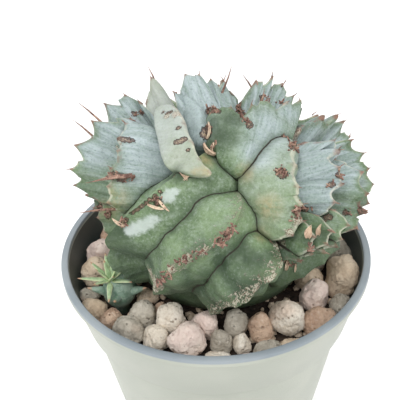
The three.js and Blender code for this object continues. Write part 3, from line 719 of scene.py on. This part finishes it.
def backRib(azimuth, top, reach, lean):
    foot = plant["backFoot"]
    heights = [top + share * (foot - top) for share in (0, 0.1, 0.3, 0.5, 0.75, 1)]
    reaches = [reach - 0.1, reach, reach, reach - 0.04, reach - 0.08, reach - 0.17]
    return asRib(
        [[azimuth + lean * (0.5 - i / 5), heights[i], reaches[i]] for i in range(6)],
        [[azimuth - lean, top - 4], [azimuth, 16], [azimuth, foot]],
        plant["backTeeth"], 3.4, 4.6, 0.8, 1.2, 2.5, 0.45, 0, back=True)


def curvePoint(points, s):
    # a point of the smooth curve through points, at a share s of its spans
    last = len(points) - 1
    k = min(int(s * last), last - 1)
    t = s * last - k
    here, there = points[k], points[k + 1]
    before = points[k - 1] if k else here * 2 - there
    after = points[k + 2] if k + 2 <= last else there * 2 - here
    leave, arrive = (there - before) / 2, (after - here) / 2
    return (here + leave * t + ((there - here) * 3 - leave * 2 - arrive) * t ** 2
            + ((here - there) * 2 + leave + arrive) * t ** 3)


def section(rib, s):
    # root point, way to the crest, height and side at a share s of the rib
    low = curvePoint(rib["rootLine"], s)
    up = curvePoint(rib["crestLine"], s) - low
    height = up.length
    up.normalize()
    ends = [max(0, s - 0.01), min(1, s + 0.01)]
    middles = [curvePoint(rib["crestLine"], e) + curvePoint(rib["rootLine"], e) for e in ends]
    side = (middles[1] - middles[0]).cross(up).normalized()
    return low, up, height, side


def endTaper(rib, s):
    # the higher the square number, the blunter the ends
    return math.sqrt(max(0, 1 - abs(2 * s - 1) ** rib.get("square", 5)))


def ribBody(rib, index):
    # a sphere whose poles are the rib's ends: latitude runs along the crest and longitude round the section
    rows = rib["teeth"] * plant["backRowsPerTooth" if rib.get("back") else "rowsPerTooth"]
    around = plant["backAround" if rib.get("back") else "around"]
    draw = random.Random(index)
    toothSize = [draw.uniform(*plant["toothSizes"]) for _ in range(rib["teeth"] + 1)]
    toothLean = [draw.uniform(-1, 1) for _ in range(rib["teeth"] + 1)]
    finShare, waviness = [clamp((none - rib["fullness"]) / less)
                          for none, less in (plant["finFullness"], plant["waveFullness"])]
    sections = [section(rib, row / rows) for row in range(rows + 1)]
    shape = bmesh.new()
    bmesh.ops.create_uvsphere(shape, u_segments=around, v_segments=rows, radius=1)
    marks = []
    (wide, high), (fineWide, fineHigh) = plant["swells"]
    domeTop, domeSlope = plant["blisterDome"]
    for vert in shape.verts:
        row = round(latitude(vert.co) * rows)
        turn = math.atan2(vert.co.y, vert.co.x)
        s = row / rows
        low, up, height, side = sections[row]
        toothAt = s * rib["teeth"]
        k = int(toothAt)
        tip = 1 - abs(1 - 2 * (toothAt % 1))
        rise = 0.5 - 0.5 * math.cos(turn)
        across = math.sin(turn)
        if abs(across) < 1e-6:
            across = 0
        end = endTaper(rib, s)
        cut = rib["notch"] * math.sin(math.pi / 2 * (1 - tip)) ** 0.8 * toothSize[k]
        length = height * end
        bulge = rib["edge"] + (rib["thick"] - rib["edge"]) * (1 - rise ** rib["fullness"])
        flute = 1 + 0.5 * (tip - 0.5) * rise * waviness
        width = bulge * flute * (1 - (1 - abs(across)) ** 2.5) * math.copysign(1, across) * end
        wave = waviness * rise ** 2 * (math.sin(math.pi * toothAt + index) + 0.7 * toothLean[k] * tip ** 2)
        notch = rise ** (4 - 3 * waviness) * cut * end
        ridge = plant["ridge"] * rise ** 4 * (1 - abs(across)) ** 3 * end if "blisters" in rib else 0
        point = low + up * (rise * length - notch + ridge) + side * (width + wave)
        swell = noise.noise(point / wide + Vector((index * 7, 0, 0))) * high
        swell += noise.noise(point / fineWide) * fineHigh
        point += side * swell * across * end
        dome = 0
        if "blisters" in rib:
            dome = domeTop - domeSlope * noise.voronoi(point / plant["blister"])[0][0]
            dome *= clamp((plant["blistersBelow"] - point.z) / plant["blistersFade"])
            out = side * across + up * max(0, 2 * rise - 1) * (1 - abs(across))
            point += out * dome * rib["blisters"] * end
        vert.co = point
        place = (toothAt, (1 - rise) * (length - cut * end), index * plant["seedStep"])
        marks.append((point.copy(), place, (dome, tip, finShare), index))
    return outward(shape), marks


def barrelBody():
    foot, radius = plant["barrelFoot"], plant["barrelRadius"]
    floor, neck = plant["neckFloor"], plant["neckRadius"]
    outline = [
        (0, floor), (neck - 2, floor), (neck, floor + 3), (neck, foot), (0.84 * radius, foot + 5),
        (0.95 * radius, foot + 12), (radius, 96), (0.93 * radius, 105), (0.74 * radius, 116), (0.4 * radius, 124),
        (0, 126),
    ]
    shape = turned(outline, 72)
    bmesh.ops.scale(shape, vec=(plant["barrelWide"], plant["barrelDeep"], 1), verts=shape.verts)
    bmesh.ops.translate(shape, vec=(plant["centre"].x, plant["centre"].y, 0), verts=shape.verts)
    return outward(shape)


allRibs = list(ribs.values()) + [backRib(*row) for row in backRibs]
bodies = []
marks = []  # what the skin's colours go by at each vertex before the bodies are joined
for index, rib in enumerate(allRibs):
    rib["crestLine"] = [plantPoint(point) for point in rib["crest"]]
    rib["rootLine"] = [plantPoint(point) for point in rib["root"]]
    body, bodyMarks = ribBody(rib, index)
    rib["tree"] = BVHTree.FromBMesh(body)
    bodies.append(loose("rib", body))
    marks += bodyMarks
barrelShape = barrelBody()
barrelTree = BVHTree.FromBMesh(barrelShape)
marks += [(vert.co.copy(), (0, plant["innerDepth"], 0), (0, 0, 0), -1) for vert in barrelShape.verts]
stem = combined(loose("barrel", barrelShape), bodies, "UNION", "MANIFOLD")
stemTree = BVHTree.FromBMesh(stem)
print("stem:", len(stem.verts), "vertices")


def seenOnPlant(*pixel):
    # the point of the plant that a pixel of the picture shows, and its normal
    start, way = sightLine(pixel)
    return stemTree.ray_cast(start, way)[:2]


# Colour on the plant: a pixel of the picture and a radius in millimetres for each patch. Wax is the blue-grey coat,
# crust speckled cork; the dark patches of painted shade, mostly low on the plant, are taken off the olive tinge.

patches = {
    "wax": [
        (145, 135, 12), (130, 120, 10), (150, 150, 10), (105, 130, 9), (95, 150, 8), (185, 105, 8),
        (195, 125, 8), (200, 95, 8), (270, 125, 12), (288, 110, 11), (255, 150, 7), (262, 135, 7),
        (315, 165, 13), (330, 150, 11), (345, 165, 9), (312, 190, 8)],
    "white": [
        (129, 231, 2), (135, 229, 2.5), (142, 226, 2.6), (149, 222, 2.2), (155, 219, 1.5), (165, 198, 1.8),
        (170, 195, 2.2), (175, 192, 1.5)],
    "crust": [
        (155, 285, 4), (152, 275, 3), (298, 222, 2), (290, 233, 2), (282, 244, 2), (293, 140, 3),
        (297, 131, 2.5), (176, 114, 2.2), (167, 115, 2.2), (118, 148, 1.6), (225, 240, 2), (205, 250, 2),
        (185, 259, 2.4), (172, 270, 2.4)],
    "paintedShade": [
        # dark patches of painted shade
        (112, 238, 6), (126, 250, 6), (140, 256, 5), (186, 284, 5), (174, 292, 5), (255, 258, 6), (240, 248, 5),
        (268, 252, 5), (150, 262, 4), (222, 262, 4), (250, 290, 6), (205, 275, 4), (222, 135, 6), (213, 123, 4),
        (230, 120, 5), (312, 240, 4), (325, 236, 4), (118, 232, 4), (178, 175, 3), (170, 178, 3)],
    "tinge": [
        (210, 174, 2.6), (205, 170, 2), (196, 172, 1.6), (112, 200, 5), (108, 210, 4), (209, 172, 3),
        (268, 207, 4), (246, 172, 3), (262, 240, 4), (205, 160, 3)],
    "scar": [
        (284, 137, 1.4), (293, 146, 1.6), (283, 174, 2.2), (280, 172, 1.8), (299, 212, 2.4), (304, 210, 1.8),
        (178, 128, 1.5), (181, 141, 1.7), (176, 142, 1.3), (185, 139, 1.3), (188, 150, 1), (205, 134, 2.4),
        (119, 138, 1.2), (123, 139, 1.4), (128, 140, 1.5), (133, 141, 1.3), (134, 114, 1.5), (141, 113, 1.4),
        (163, 112, 1.1), (167, 113, 1.2), (171, 112, 1.1), (112, 176, 2), (122, 178, 2.2), (101, 208, 2.2),
        (108, 215, 1.8), (122, 222, 2.2), (158, 202, 1.8), (340, 175, 1.8), (331, 184, 1.7), (328, 218, 2.2),
        (362, 211, 1.8), (346, 213, 1.6), (213, 111, 1.6), (242, 115, 1.9), (247, 121, 1.5), (150, 200, 1.2),
        (141, 206, 1.2), (132, 213, 1.3), (125, 219, 1.4), (174, 176, 1.3), (160, 192, 1.1), (155, 196, 1.1),
        (146, 203, 1.2), (137, 210, 1.2), (119, 223, 1.4), (209, 111, 1.8), (218, 111, 1.8), (238, 109, 1.8),
        (250, 125, 1.6), (232, 93, 1.8), (208, 130, 2), (230, 230, 1.4), (226, 235, 1.2), (220, 241, 1.4),
        (262, 98, 1.4)],
}

paint = {
    "patchEdge": 1.3,  # a patch has faded out at this many radii
    # the dark line and the softer darkening beside a rib are painted shade
    "lineReach": 4,  # the dark line beside a rib starts this far from it
    "boxMargin": 12,
    "waxFoot": 85,
    "waxRise": 40,
    "corkDepth": 2.2,
    "sharpAngle": 40,
    "plain": {"wax": 0, "cork": 0},  # the barrel between the ribs
}


def patchStrength(stemPlaces, kind):
    # how strongly each vertex of the stem is covered
    cover = [0.0] * len(stem.verts)
    for x, y, radius in patches[kind]:
        centre, _ = seenOnPlant(x, y)
        edge = radius * paint["patchEdge"]
        for _, index, distance in stemPlaces.find_range(centre, edge):
            cover[index] = max(cover[index], 1 - distance / edge)
    return cover


def paintStem():
    stem.verts.index_update()
    lookup = placeTree([mark[0] for mark in marks])
    stemPlaces = placeTree([vert.co for vert in stem.verts])
    painted = {kind: patchStrength(stemPlaces, kind) for kind in patches}
    ribLayer, growthLayer, wearAndShadeLayer = [stem.verts.layers.float_vector.new(name)
                                        for name in ("rib", "growth", "wearAndShade")]
    tintAndPaintedLightLayer = stem.verts.layers.float_color.new("tintAndPaintedLight")
    for rib in allRibs:
        columns = list(zip(*rib["crestLine"], *rib["rootLine"]))
        rib["box"] = [(min(column) - paint["boxMargin"], max(column) + paint["boxMargin"]) for column in columns]
    lined = [rib for rib in allRibs if not rib.get("soft")]
    for vert in stem.verts:
        co = vert.co
        _, place, growth, own = marks[lookup.find(co)[1]]
        rib = allRibs[own] if own >= 0 else paint["plain"]
        # how near another rib or the barrel is: this sets the painted shade beside ribs and its dark line in the
        # crease
        near = paint["lineReach"]
        for other in [] if rib.get("soft") else lined:
            inBox = all(low < co[i] < high for i, (low, high) in enumerate(other["box"]))
            if inBox and other is not rib:
                near = nearest(other["tree"], co, near)
        if own >= 0 and not rib.get("soft"):
            near = nearest(barrelTree, co, near)
        height = clamp((co.z - paint["waxFoot"]) / paint["waxRise"])
        # wax is the real coat, more of it high on the plant; more on faces turned upwards is painted light from
        # above
        wax = rib["wax"] + 0.25 * (height - 0.5) + 0.15 * max(0, vert.normal.z) - 0.1
        here = {kind: cover[vert.index] for kind, cover in painted.items()}
        crust = max(here["crust"] * 1.2, rib["cork"] * math.exp(-place[1] / paint["corkDepth"]))
        vert[ribLayer] = Vector(place)
        vert[growthLayer] = Vector(growth)
        # the third channel is the olive tinge less the patches of painted shade
        vert[wearAndShadeLayer] = Vector((crust, rib.get("pale", 0), here["tinge"] - here["paintedShade"]))
        # the alpha is painted shade near other ribs
        vert[tintAndPaintedLightLayer] = Vector((clamp(wax + 0.6 * here["wax"]), here["white"], here["scar"],
                                  1 - near / paint["lineReach"]))


paintStem()
piece("stem_skin", inMetres(sharpen(stem, paint["sharpAngle"])), plantSkin(), "stem", ["stem"])
print("stem painted")


# Spines and dry stalks

spines = {
    "radius": 0.24,
    "perTooth": (0, 1, 1, 2),
    "lengths": (0.35, 0.9),  # shares of the rib's spine length
    "notchDepth": 0.6,
    "longRadius": 0.5,
    "longSink": 2,
    "longBend": 0.7,
    "sink": 1.2,
    "sides": 5,
}

stalks = {
    "perCount": 3,
    "radius": 0.34,
    "lengths": (0.5, 1.7),
    "spread": 1.6,
    "lean": 1.3,
    "pointedShare": 0.35,
}


def addStalk(shape, foot, tip, radius, pointed, bend):
    # a tapered stalk with one bend, few-sided because there are hundreds
    way = tip - foot
    sides = spines["sides"]
    widths = [1, 0.8, 0.5, 0.08] if pointed else [0.8, 0.7, 0.9, 0.55]
    turnTo = way.to_track_quat("Z", "Y").to_matrix()
    rings = []
    for step, width in zip((0, 0.35, 0.7, 1), widths):
        centre = foot + way * step + bend * math.sin(math.pi * step)
        ring = bmesh.ops.create_circle(shape, segments=sides, radius=radius * width, cap_ends=False)["verts"]
        for vert in ring:
            vert.co = centre + turnTo @ vert.co
        rings.append(ring)
    for first, second in zip(rings, rings[1:]):
        for i in range(sides):
            j = (i + 1) % sides
            shape.faces.new((first[i], first[j], second[j], second[i]))
    shape.faces.new(rings[0][::-1])
    shape.faces.new(rings[-1])


def makeSpines(material):
    draw = random.Random(31)
    shape = bmesh.new()
    for rib in allRibs:
        if rib["spine"] == 0:
            continue
        for k in range(rib["teeth"]):
            s = (k + 0.5) / rib["teeth"]
            low, up, height, side = section(rib, s)
            foot = low + up * (height * endTaper(rib, s) - spines["notchDepth"])
            along = side.cross(up)
            for _ in range(draw.choice(spines["perTooth"])):
                way = (up + side * draw.uniform(-0.8, 0.8) + along * draw.uniform(-0.5, 0.5)).normalized()
                length = rib["spine"] * draw.uniform(*spines["lengths"])
                bend = side * draw.uniform(-0.3, 0.3)
                addStalk(shape, foot - way * spines["sink"], foot + way * length, spines["radius"], True, bend)
    for start, end in longSpines:
        start, end = plantPoint(start), plantPoint(end)
        way = (end - start).normalized()
        side = way.cross(Vector((0, 0, 1))).normalized()
        addStalk(shape, start - way * spines["longSink"], end, spines["longRadius"], True, side * spines["longBend"])
    piece("spines", inMetres(shape), material, "stem")


# clusters of old flower stalks: a pixel of the picture, how many stalks in threes and how long they are
stalkClusters = [
    (230, 229, 4, 1), (226, 235, 3, 0.9), (220, 241, 4, 1), (200, 251, 3, 0.9), (190, 256, 3, 0.9),
    (180, 260, 4, 1), (169, 272, 4, 1), (162, 281, 3, 0.9), (214, 146, 2, 0.7), (284, 137, 2, 0.6),
    (293, 143, 3, 0.8), (293, 150, 3, 0.7), (283, 174, 5, 0.9), (279, 170, 3, 0.7), (299, 211, 5, 1.1),
    (305, 209, 4, 1.1), (296, 215, 3, 1), (340, 174, 2, 0.8), (331, 184, 2, 0.6), (362, 209, 3, 0.8),
    (347, 213, 3, 0.7), (109, 176, 2, 0.8), (115, 177, 3, 0.9), (122, 178, 3, 0.9), (127, 178, 2, 0.8),
    (101, 208, 4, 1.2), (108, 213, 4, 1), (122, 222, 3, 0.8), (158, 202, 4, 0.8), (213, 110, 4, 1),
    (208, 112, 3, 0.9), (238, 110, 4, 0.9), (242, 115, 5, 0.9), (246, 121, 4, 0.9), (208, 130, 3, 1),
    (136, 114, 2, 0.6), (142, 112, 2, 0.6), (264, 100, 3, 0.9), (280, 102, 3, 0.9), (288, 262, 3, 0.8),
    (312, 250, 3, 0.8),
]


def makeStalks(material):
    draw = random.Random(57)
    shape = bmesh.new()
    for x, y, count, size in stalkClusters:
        place, normal = seenOnPlant(x, y)
        for _ in range(stalks["perCount"] * count):
            offset = Vector([draw.uniform(-stalks["spread"], stalks["spread"]) for _ in range(3)])
            foot = place + (offset - normal * offset.dot(normal)) * size
            lean = Vector([draw.uniform(-stalks["lean"], stalks["lean"]) for _ in range(3)])
            way = (normal + lean).normalized()
            length = draw.uniform(*stalks["lengths"]) * size
            addStalk(shape, foot - way * spines["sink"], foot + way * length, stalks["radius"],
                     draw.random() < stalks["pointedShare"], lean * 0.2)
    piece("dry_stalks", inMetres(shape), material, "stem")


# dry leaf scraps: a pixel, length and width in millimetres, the pixel they point to
bracts = [
    ((309, 236), 4.5, 3, (313, 223)), ((319, 234), 3, 2, (322, 226)), ((286, 268), 3.5, 1.6, (287, 258)),
    ((186, 178), 4, 1, (177, 168)), ((185, 178), 4.5, 0.9, (193, 168)), ((150, 204), 4, 1.2, (162, 205)),
    ((206, 136), 4, 1.6, (204, 126)), ((215, 151), 3.4, 2.6, (209, 142)), ((214, 151), 3, 1.6, (218, 141)),
    ((123, 224), 4, 1.3, (114, 216)), ((160, 201), 3.5, 1, (168, 208)), ((295, 270), 3, 0.9, (296, 258)),
]


bractThickness = 0.25


def addBract(shape, foot, tip, normal, width):
    # a thin pointed scrap with a curled edge
    way = tip - foot
    across = way.cross(normal).normalized()
    lift = across.cross(way).normalized()
    blade = bmesh.ops.create_grid(shape, x_segments=4, y_segments=7, size=1)["verts"]
    for vert in blade:
        t = (vert.co.y + 1) / 2
        x = vert.co.x
        reach = width / 2 * (1 - t) ** 0.7 * (0.4 + 1.2 * min(t * 2, 1)) / 1.3
        curl = width * (0.35 * x * x + 0.3 * math.sin(math.pi * t))
        vert.co = foot + way * t + across * x * reach + lift * curl
    faces = list({face for vert in blade for face in vert.link_faces})
    bmesh.ops.solidify(shape, geom=faces, thickness=bractThickness)


def makeBracts():
    shape = bmesh.new()
    for pixel, length, width, towards in bracts:
        place, normal = seenOnPlant(*pixel)
        start, way = sightLine(towards)
        aim = start + way * (place - start).length
        direction = (aim - place).normalized() + normal * 0.35
        addBract(shape, place - direction * 0.6, place + direction * length, normal, width)
    piece("dry_bracts", inMetres(shape), dryBract(), "stem")


wood = woodySpine()
makeSpines(wood)
makeStalks(wood)
makeBracts()
print("spines, stalks and bracts done")


# The offset at the left

shoot = {
    "place": Vector((-32, -15.5, 79.5)),
    "neckRadius": 2.6,
    "floor": 66,
    "radius": 5.5,
    "lobes": 5,
    "lobeLength": 11.4,
    "lobeRadius": 3.1,
    "lobeTurn": -20,
    "lobeTilt": 25,
    "crown": Vector((-34.4, -16.2, 85.8)),
    "leaves": 13,
    "leafTilt": 10,
    "leafLength": 10.5,
    "leafRadius": 1.25,
    "leafTurn": -85,
    "leafStep": 137.5,
    "soilTop": 73,
}


def addLeaf(shape, layer, foot, turn, tilt, length, radius, young, flatness, curl):
    # a fleshy leaf: full at the foot, drawn out to a point, a little flat and curled
    turn, tilt = math.radians(turn), math.radians(tilt)
    way = Vector((math.cos(turn) * math.cos(tilt), math.sin(turn) * math.cos(tilt), math.sin(tilt)))
    side = Vector((-math.sin(turn), math.cos(turn), 0))
    up = way.cross(side)
    leaf = bmesh.ops.create_uvsphere(shape, u_segments=12, v_segments=16, radius=1)["verts"]
    for vert in leaf:
        t = latitude(vert.co)
        ring = vert.co.xy.normalized() if vert.co.xy.length > 1e-6 else vert.co.xy
        width = radius * min(1, 3 * t) ** 0.5 * (1 - t) ** (0.55 if young else 0.8)
        bend = curl * t * t
        vert.co = foot + way * t * length + side * ring.x * width + up * (ring.y * width * flatness - bend)
        vert[layer] = Vector((t, young, abs(ring.x)))


def makeShoot():
    draw = random.Random(77)
    place, top, radius = shoot["place"], shoot["soilTop"], shoot["radius"]
    body = turned([(0, shoot["floor"]), (shoot["neckRadius"], shoot["floor"]), (shoot["neckRadius"], top + 2),
                   (0.75 * radius, 77), (radius, 79.5), (radius, 82.3), (0.85 * radius, 84.8), (0.6 * radius, 86.3),
                   (0, 87)], 32)
    bmesh.ops.translate(body, vec=(place.x, place.y, 0), verts=body.verts)
    for vert in body.verts:
        vert.co += Vector((vert.co.x - place.x, vert.co.y - place.y, 0)) * 0.12 * noise.noise(vert.co / 3)
    layer = body.verts.layers.float_vector.new("leaf")
    for k in range(shoot["lobes"]):
        addLeaf(body, layer, place, shoot["lobeTurn"] + 360 * k / shoot["lobes"], shoot["lobeTilt"],
                shoot["lobeLength"] * draw.uniform(0.92, 1.05), shoot["lobeRadius"], 0, 0.85, -0.6)
    for k in range(shoot["leaves"]):
        share = k / (shoot["leaves"] - 1)
        turn, tilt = shoot["leafTurn"] + shoot["leafStep"] * k, shoot["leafTilt"] + 60 * share
        addLeaf(body, layer, shoot["crown"], turn, tilt, shoot["leafLength"] * (1.08 - 0.35 * share),
                shoot["leafRadius"], 1, 0.45, 0.8 * (1 - share))
    piece("offset_shoot", inMetres(body), shootSkin(), "offset", ["offset"])


makeShoot()


# Stones: every CAD stone becomes a rounder, pitted one in the same place

stoneFinish = {
    "frontLimit": 0.012,
    "frontDivisions": 4,
    "backDivisions": 3,
    "smoothing": 3,
    "lumps": (160, 1.1),  # how many to the metre and height in millimetres
    "dents": (150, 1.6),
    "grain": (900, 0.3),
    "sink": 0.25,
}


def makeStone(name, node, material, slot, index):
    shape = bmesh.new()
    shape.from_mesh(node.data)
    bmesh.ops.remove_doubles(shape, verts=shape.verts, dist=1e-6)
    low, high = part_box(name)
    centre = (low + high) / 2
    divisions = "frontDivisions" if centre.y < stoneFinish["frontLimit"] else "backDivisions"
    for _ in range(stoneFinish[divisions]):
        bmesh.ops.subdivide_edges(shape, edges=shape.edges, cuts=1, use_grid_fill=True)
        for _ in range(stoneFinish["smoothing"]):
            bmesh.ops.smooth_vert(shape, verts=shape.verts, factor=0.5, use_axis_x=True, use_axis_y=True,
                                  use_axis_z=True)
    # smoothing draws a stone in, so it is let out to its own box again
    size = [max(v.co[i] for v in shape.verts) - min(v.co[i] for v in shape.verts) for i in range(3)]
    grow = [(high[i] - low[i]) / size[i] for i in range(3)]
    shift = Vector((index * 0.31, index * 0.17, 0))
    lumps, dents, grain = stoneFinish["lumps"], stoneFinish["dents"], stoneFinish["grain"]
    for vert in shape.verts:
        offset = vert.co - centre
        vert.co = centre + Vector([offset[i] * grow[i] for i in range(3)])
        way = offset.normalized()
        lump = noise.noise(vert.co * lumps[0] + shift) * lumps[1]
        lump += (0.5 - noise.voronoi(vert.co * dents[0] + shift)[0][0]) * dents[1]
        rough = noise.fractal(vert.co * grain[0], 0.9, 2, 3) * grain[1]
        vert.co += way * (lump + rough - stoneFinish["sink"]) * mm
    bmesh.ops.recalc_face_normals(shape, faces=shape.faces)
    piece(name + "_pumice", shape, material, slot, [name])


stoneMaterials = {slot: porousStone(slot) for slot in stoneTones}
slots = {part["node"]: part["material_slot"] for part in frame["record"]["subparts"]}
stoneNames = sorted(name for name in frame["nodes"] if name.startswith("stone_"))
for index, name in enumerate(stoneNames):
    makeStone(name, frame["nodes"][name], stoneMaterials[slots[name]], slots[name], index)
print(len(stoneNames), "stones done")


# Soil with crumbs and grit between the stones

ground = {
    "top": 73,
    "voxel": 1.4,
    "grit": 320,
    "gritSize": (0.6, 1.7),
    "innerRadius": 46,
    "clearOfStem": 18.5,
    "clearOfShoot": 5,
}


def makeSoil():
    source = bpy.data.objects.new("soilWork", frame["nodes"]["soil"].data.copy())
    scene.collection.objects.link(source)
    weld = source.modifiers.new("weld", "WELD")
    weld.merge_threshold = 1e-6
    remesh = source.modifiers.new("remesh", "REMESH")
    remesh.mode = "VOXEL"
    remesh.voxel_size = ground["voxel"] * mm
    shape = applied(source)
    for vert in shape.verts:
        if vert.co.z > (ground["top"] - 0.5) * mm:
            vert.co.z += (0.7 * noise.noise(vert.co * 400) + 0.4 * noise.noise(vert.co * 150)) * mm
    piece("soil_bed", shape, pottingMix(), "soil", ["soil"])


def makeGrit():
    # small crumbs and chips that fill the gaps
    draw = random.Random(19)
    shape = bmesh.new()
    while len(shape.verts) < 12 * ground["grit"]:  # each chip has 12 corners
        turn = draw.uniform(0, 2 * math.pi)
        reach = math.sqrt(draw.uniform(0.1, 1)) * ground["innerRadius"]
        place = Vector((reach * math.cos(turn), reach * math.sin(turn), ground["top"]))
        if (place.xy - plant["centre"].xy).length < ground["clearOfStem"]:
            continue
        if (place.xy - shoot["place"].xy).length < ground["clearOfShoot"]:
            continue
        size = draw.uniform(*ground["gritSize"])
        chip = bmesh.ops.create_icosphere(shape, subdivisions=1, radius=size)["verts"]
        spin = Euler([draw.uniform(0, 6) for _ in range(3)]).to_matrix()
        stretch = Vector((draw.uniform(0.7, 1.2), draw.uniform(0.7, 1.2), draw.uniform(0.6, 1)))
        for vert in chip:
            bent = spin @ (vert.co * draw.uniform(0.8, 1.15)) * stretch
            vert.co = place + bent + Vector((0, 0, size * 0.5))
    piece("grit", inMetres(shape), stoneMaterials["stone_tan"], "stone_tan")


makeSoil()
makeGrit()
print("soil and grit done")


# The nursery pot

pot = {
    "height": 88,
    "rim": 52.5,
    "lipHeight": 3,
    "lipRound": 0.6,
    "collarTop": 51.2,
    "collarFoot": 47.7,
    "collarFootHeight": 67,
    "bodyTop": 45.6,
    "base": 36.6,
    "wall": 1.2,
    "floor": 2,
    "drainHoles": 5,
    "drainRadius": 1.9,
    "drainRing": 26,
    "steps": 160,
    "tolerance": 0.01,
    "sharpAngle": 30,
}


def makePot():
    rim, lip, wall, floor, base = pot["rim"], pot["lipRound"], pot["wall"], pot["floor"], pot["base"]
    collarTop, collarFoot, bodyTop = pot["collarTop"], pot["collarFoot"], pot["bodyTop"]
    top, step = pot["height"], pot["collarFootHeight"]
    lipFoot = top - pot["lipHeight"]
    outside = [
        (0, 0), (base - 2, 0), (base - 0.8, 0.1), (base, 0.9), (bodyTop, step - 1), (collarFoot - 0.3, step),
        (collarFoot, step + 0.4), (collarTop, lipFoot - 0.4), (collarTop + 0.4, lipFoot),
        (rim - 0.3, lipFoot + 0.2), (rim, lipFoot + 0.6),
    ]
    lipTop = [
        (rim, top - lip), (rim - 0.3 * lip, top - 0.3 * lip), (rim - lip, top), (rim - 3 * lip, top),
        (rim - 3.7 * lip, top - 0.3 * lip), (rim - 4 * lip, top - lip),
    ]
    inside = [
        (collarTop - wall, lipFoot), (collarFoot - wall, step + 0.6), (bodyTop - wall, step - 0.4),
        (base - wall + 0.3, floor), (0, floor),
    ]

    def isOn(outline, vert):
        here = (vert.co.xy.length, vert.co.z)
        return float(any(math.dist(here, corner) < pot["tolerance"] for corner in outline))

    shape = turned(outside + lipTop + inside, pot["steps"])
    layer = shape.verts.layers.float_vector.new("side")
    for vert in shape.verts:
        vert[layer] = Vector((isOn(inside, vert), isOn(lipTop, vert), 0))
    drills = []
    for k in range(pot["drainHoles"]):
        turn = 2 * math.pi * k / pot["drainHoles"]
        drill = bmesh.new()
        bmesh.ops.create_cone(drill, cap_ends=True, segments=24, radius1=pot["drainRadius"] * mm,
                              radius2=pot["drainRadius"] * mm, depth=3 * floor * mm)
        place = Vector((math.cos(turn), math.sin(turn), 0)) * pot["drainRing"] * mm
        bmesh.ops.translate(drill, vec=place + Vector((0, 0, floor / 2 * mm)), verts=drill.verts)
        drills.append(loose("drill", drill))
    shape = combined(loose("potBlank", inMetres(shape)), drills, "DIFFERENCE", "EXACT")
    piece("nursery_pot", sharpen(shape, pot["sharpAngle"]), potPlastic(), "pot", ["pot"])


makePot()
print("pot done")


# Floor and light

studio = {
    "floorSize": 3,
    "sky": 0.8,
    "aim": (0, 0, 0.1),
    "lamps": {  # place, size and power; the one at the back lights the floor behind the plant
        "top": [(-0.12, -0.42, 0.72), 0.4, 2.9],
        "left": [(-0.75, -0.1, 0.4), 0.5, 1.6],
        "right": [(0.62, -0.4, 0.55), 0.5, 2.2],
        "back": [(0, 0.75, 0.85), 0.6, 2.5],
    },
}


def makeStudio():
    floor = bmesh.new()
    bmesh.ops.create_grid(floor, x_segments=1, y_segments=1, size=studio["floorSize"])
    piece("floor", floor, palePaper(), smooth=False)
    world = bpy.data.worlds.new("sky")
    world.use_nodes = True
    sky = world.node_tree.nodes["Background"].inputs
    sky["Color"].default_value = (1, 1, 1, 1)
    sky["Strength"].default_value = studio["sky"]
    scene.world = world
    for name, (place, size, power) in studio["lamps"].items():
        light = bpy.data.lights.new(name, "AREA")
        light.shape = "DISK"
        light.size = size
        light.energy = power
        lamp = bpy.data.objects.new(name, light)
        lamp.location = place
        aim = Vector(studio["aim"]) - lamp.location
        lamp.rotation_euler = aim.to_track_quat("-Z", "Y").to_euler()
        scene.collection.objects.link(lamp)


makeStudio()
scene.view_settings.view_transform = "Standard"
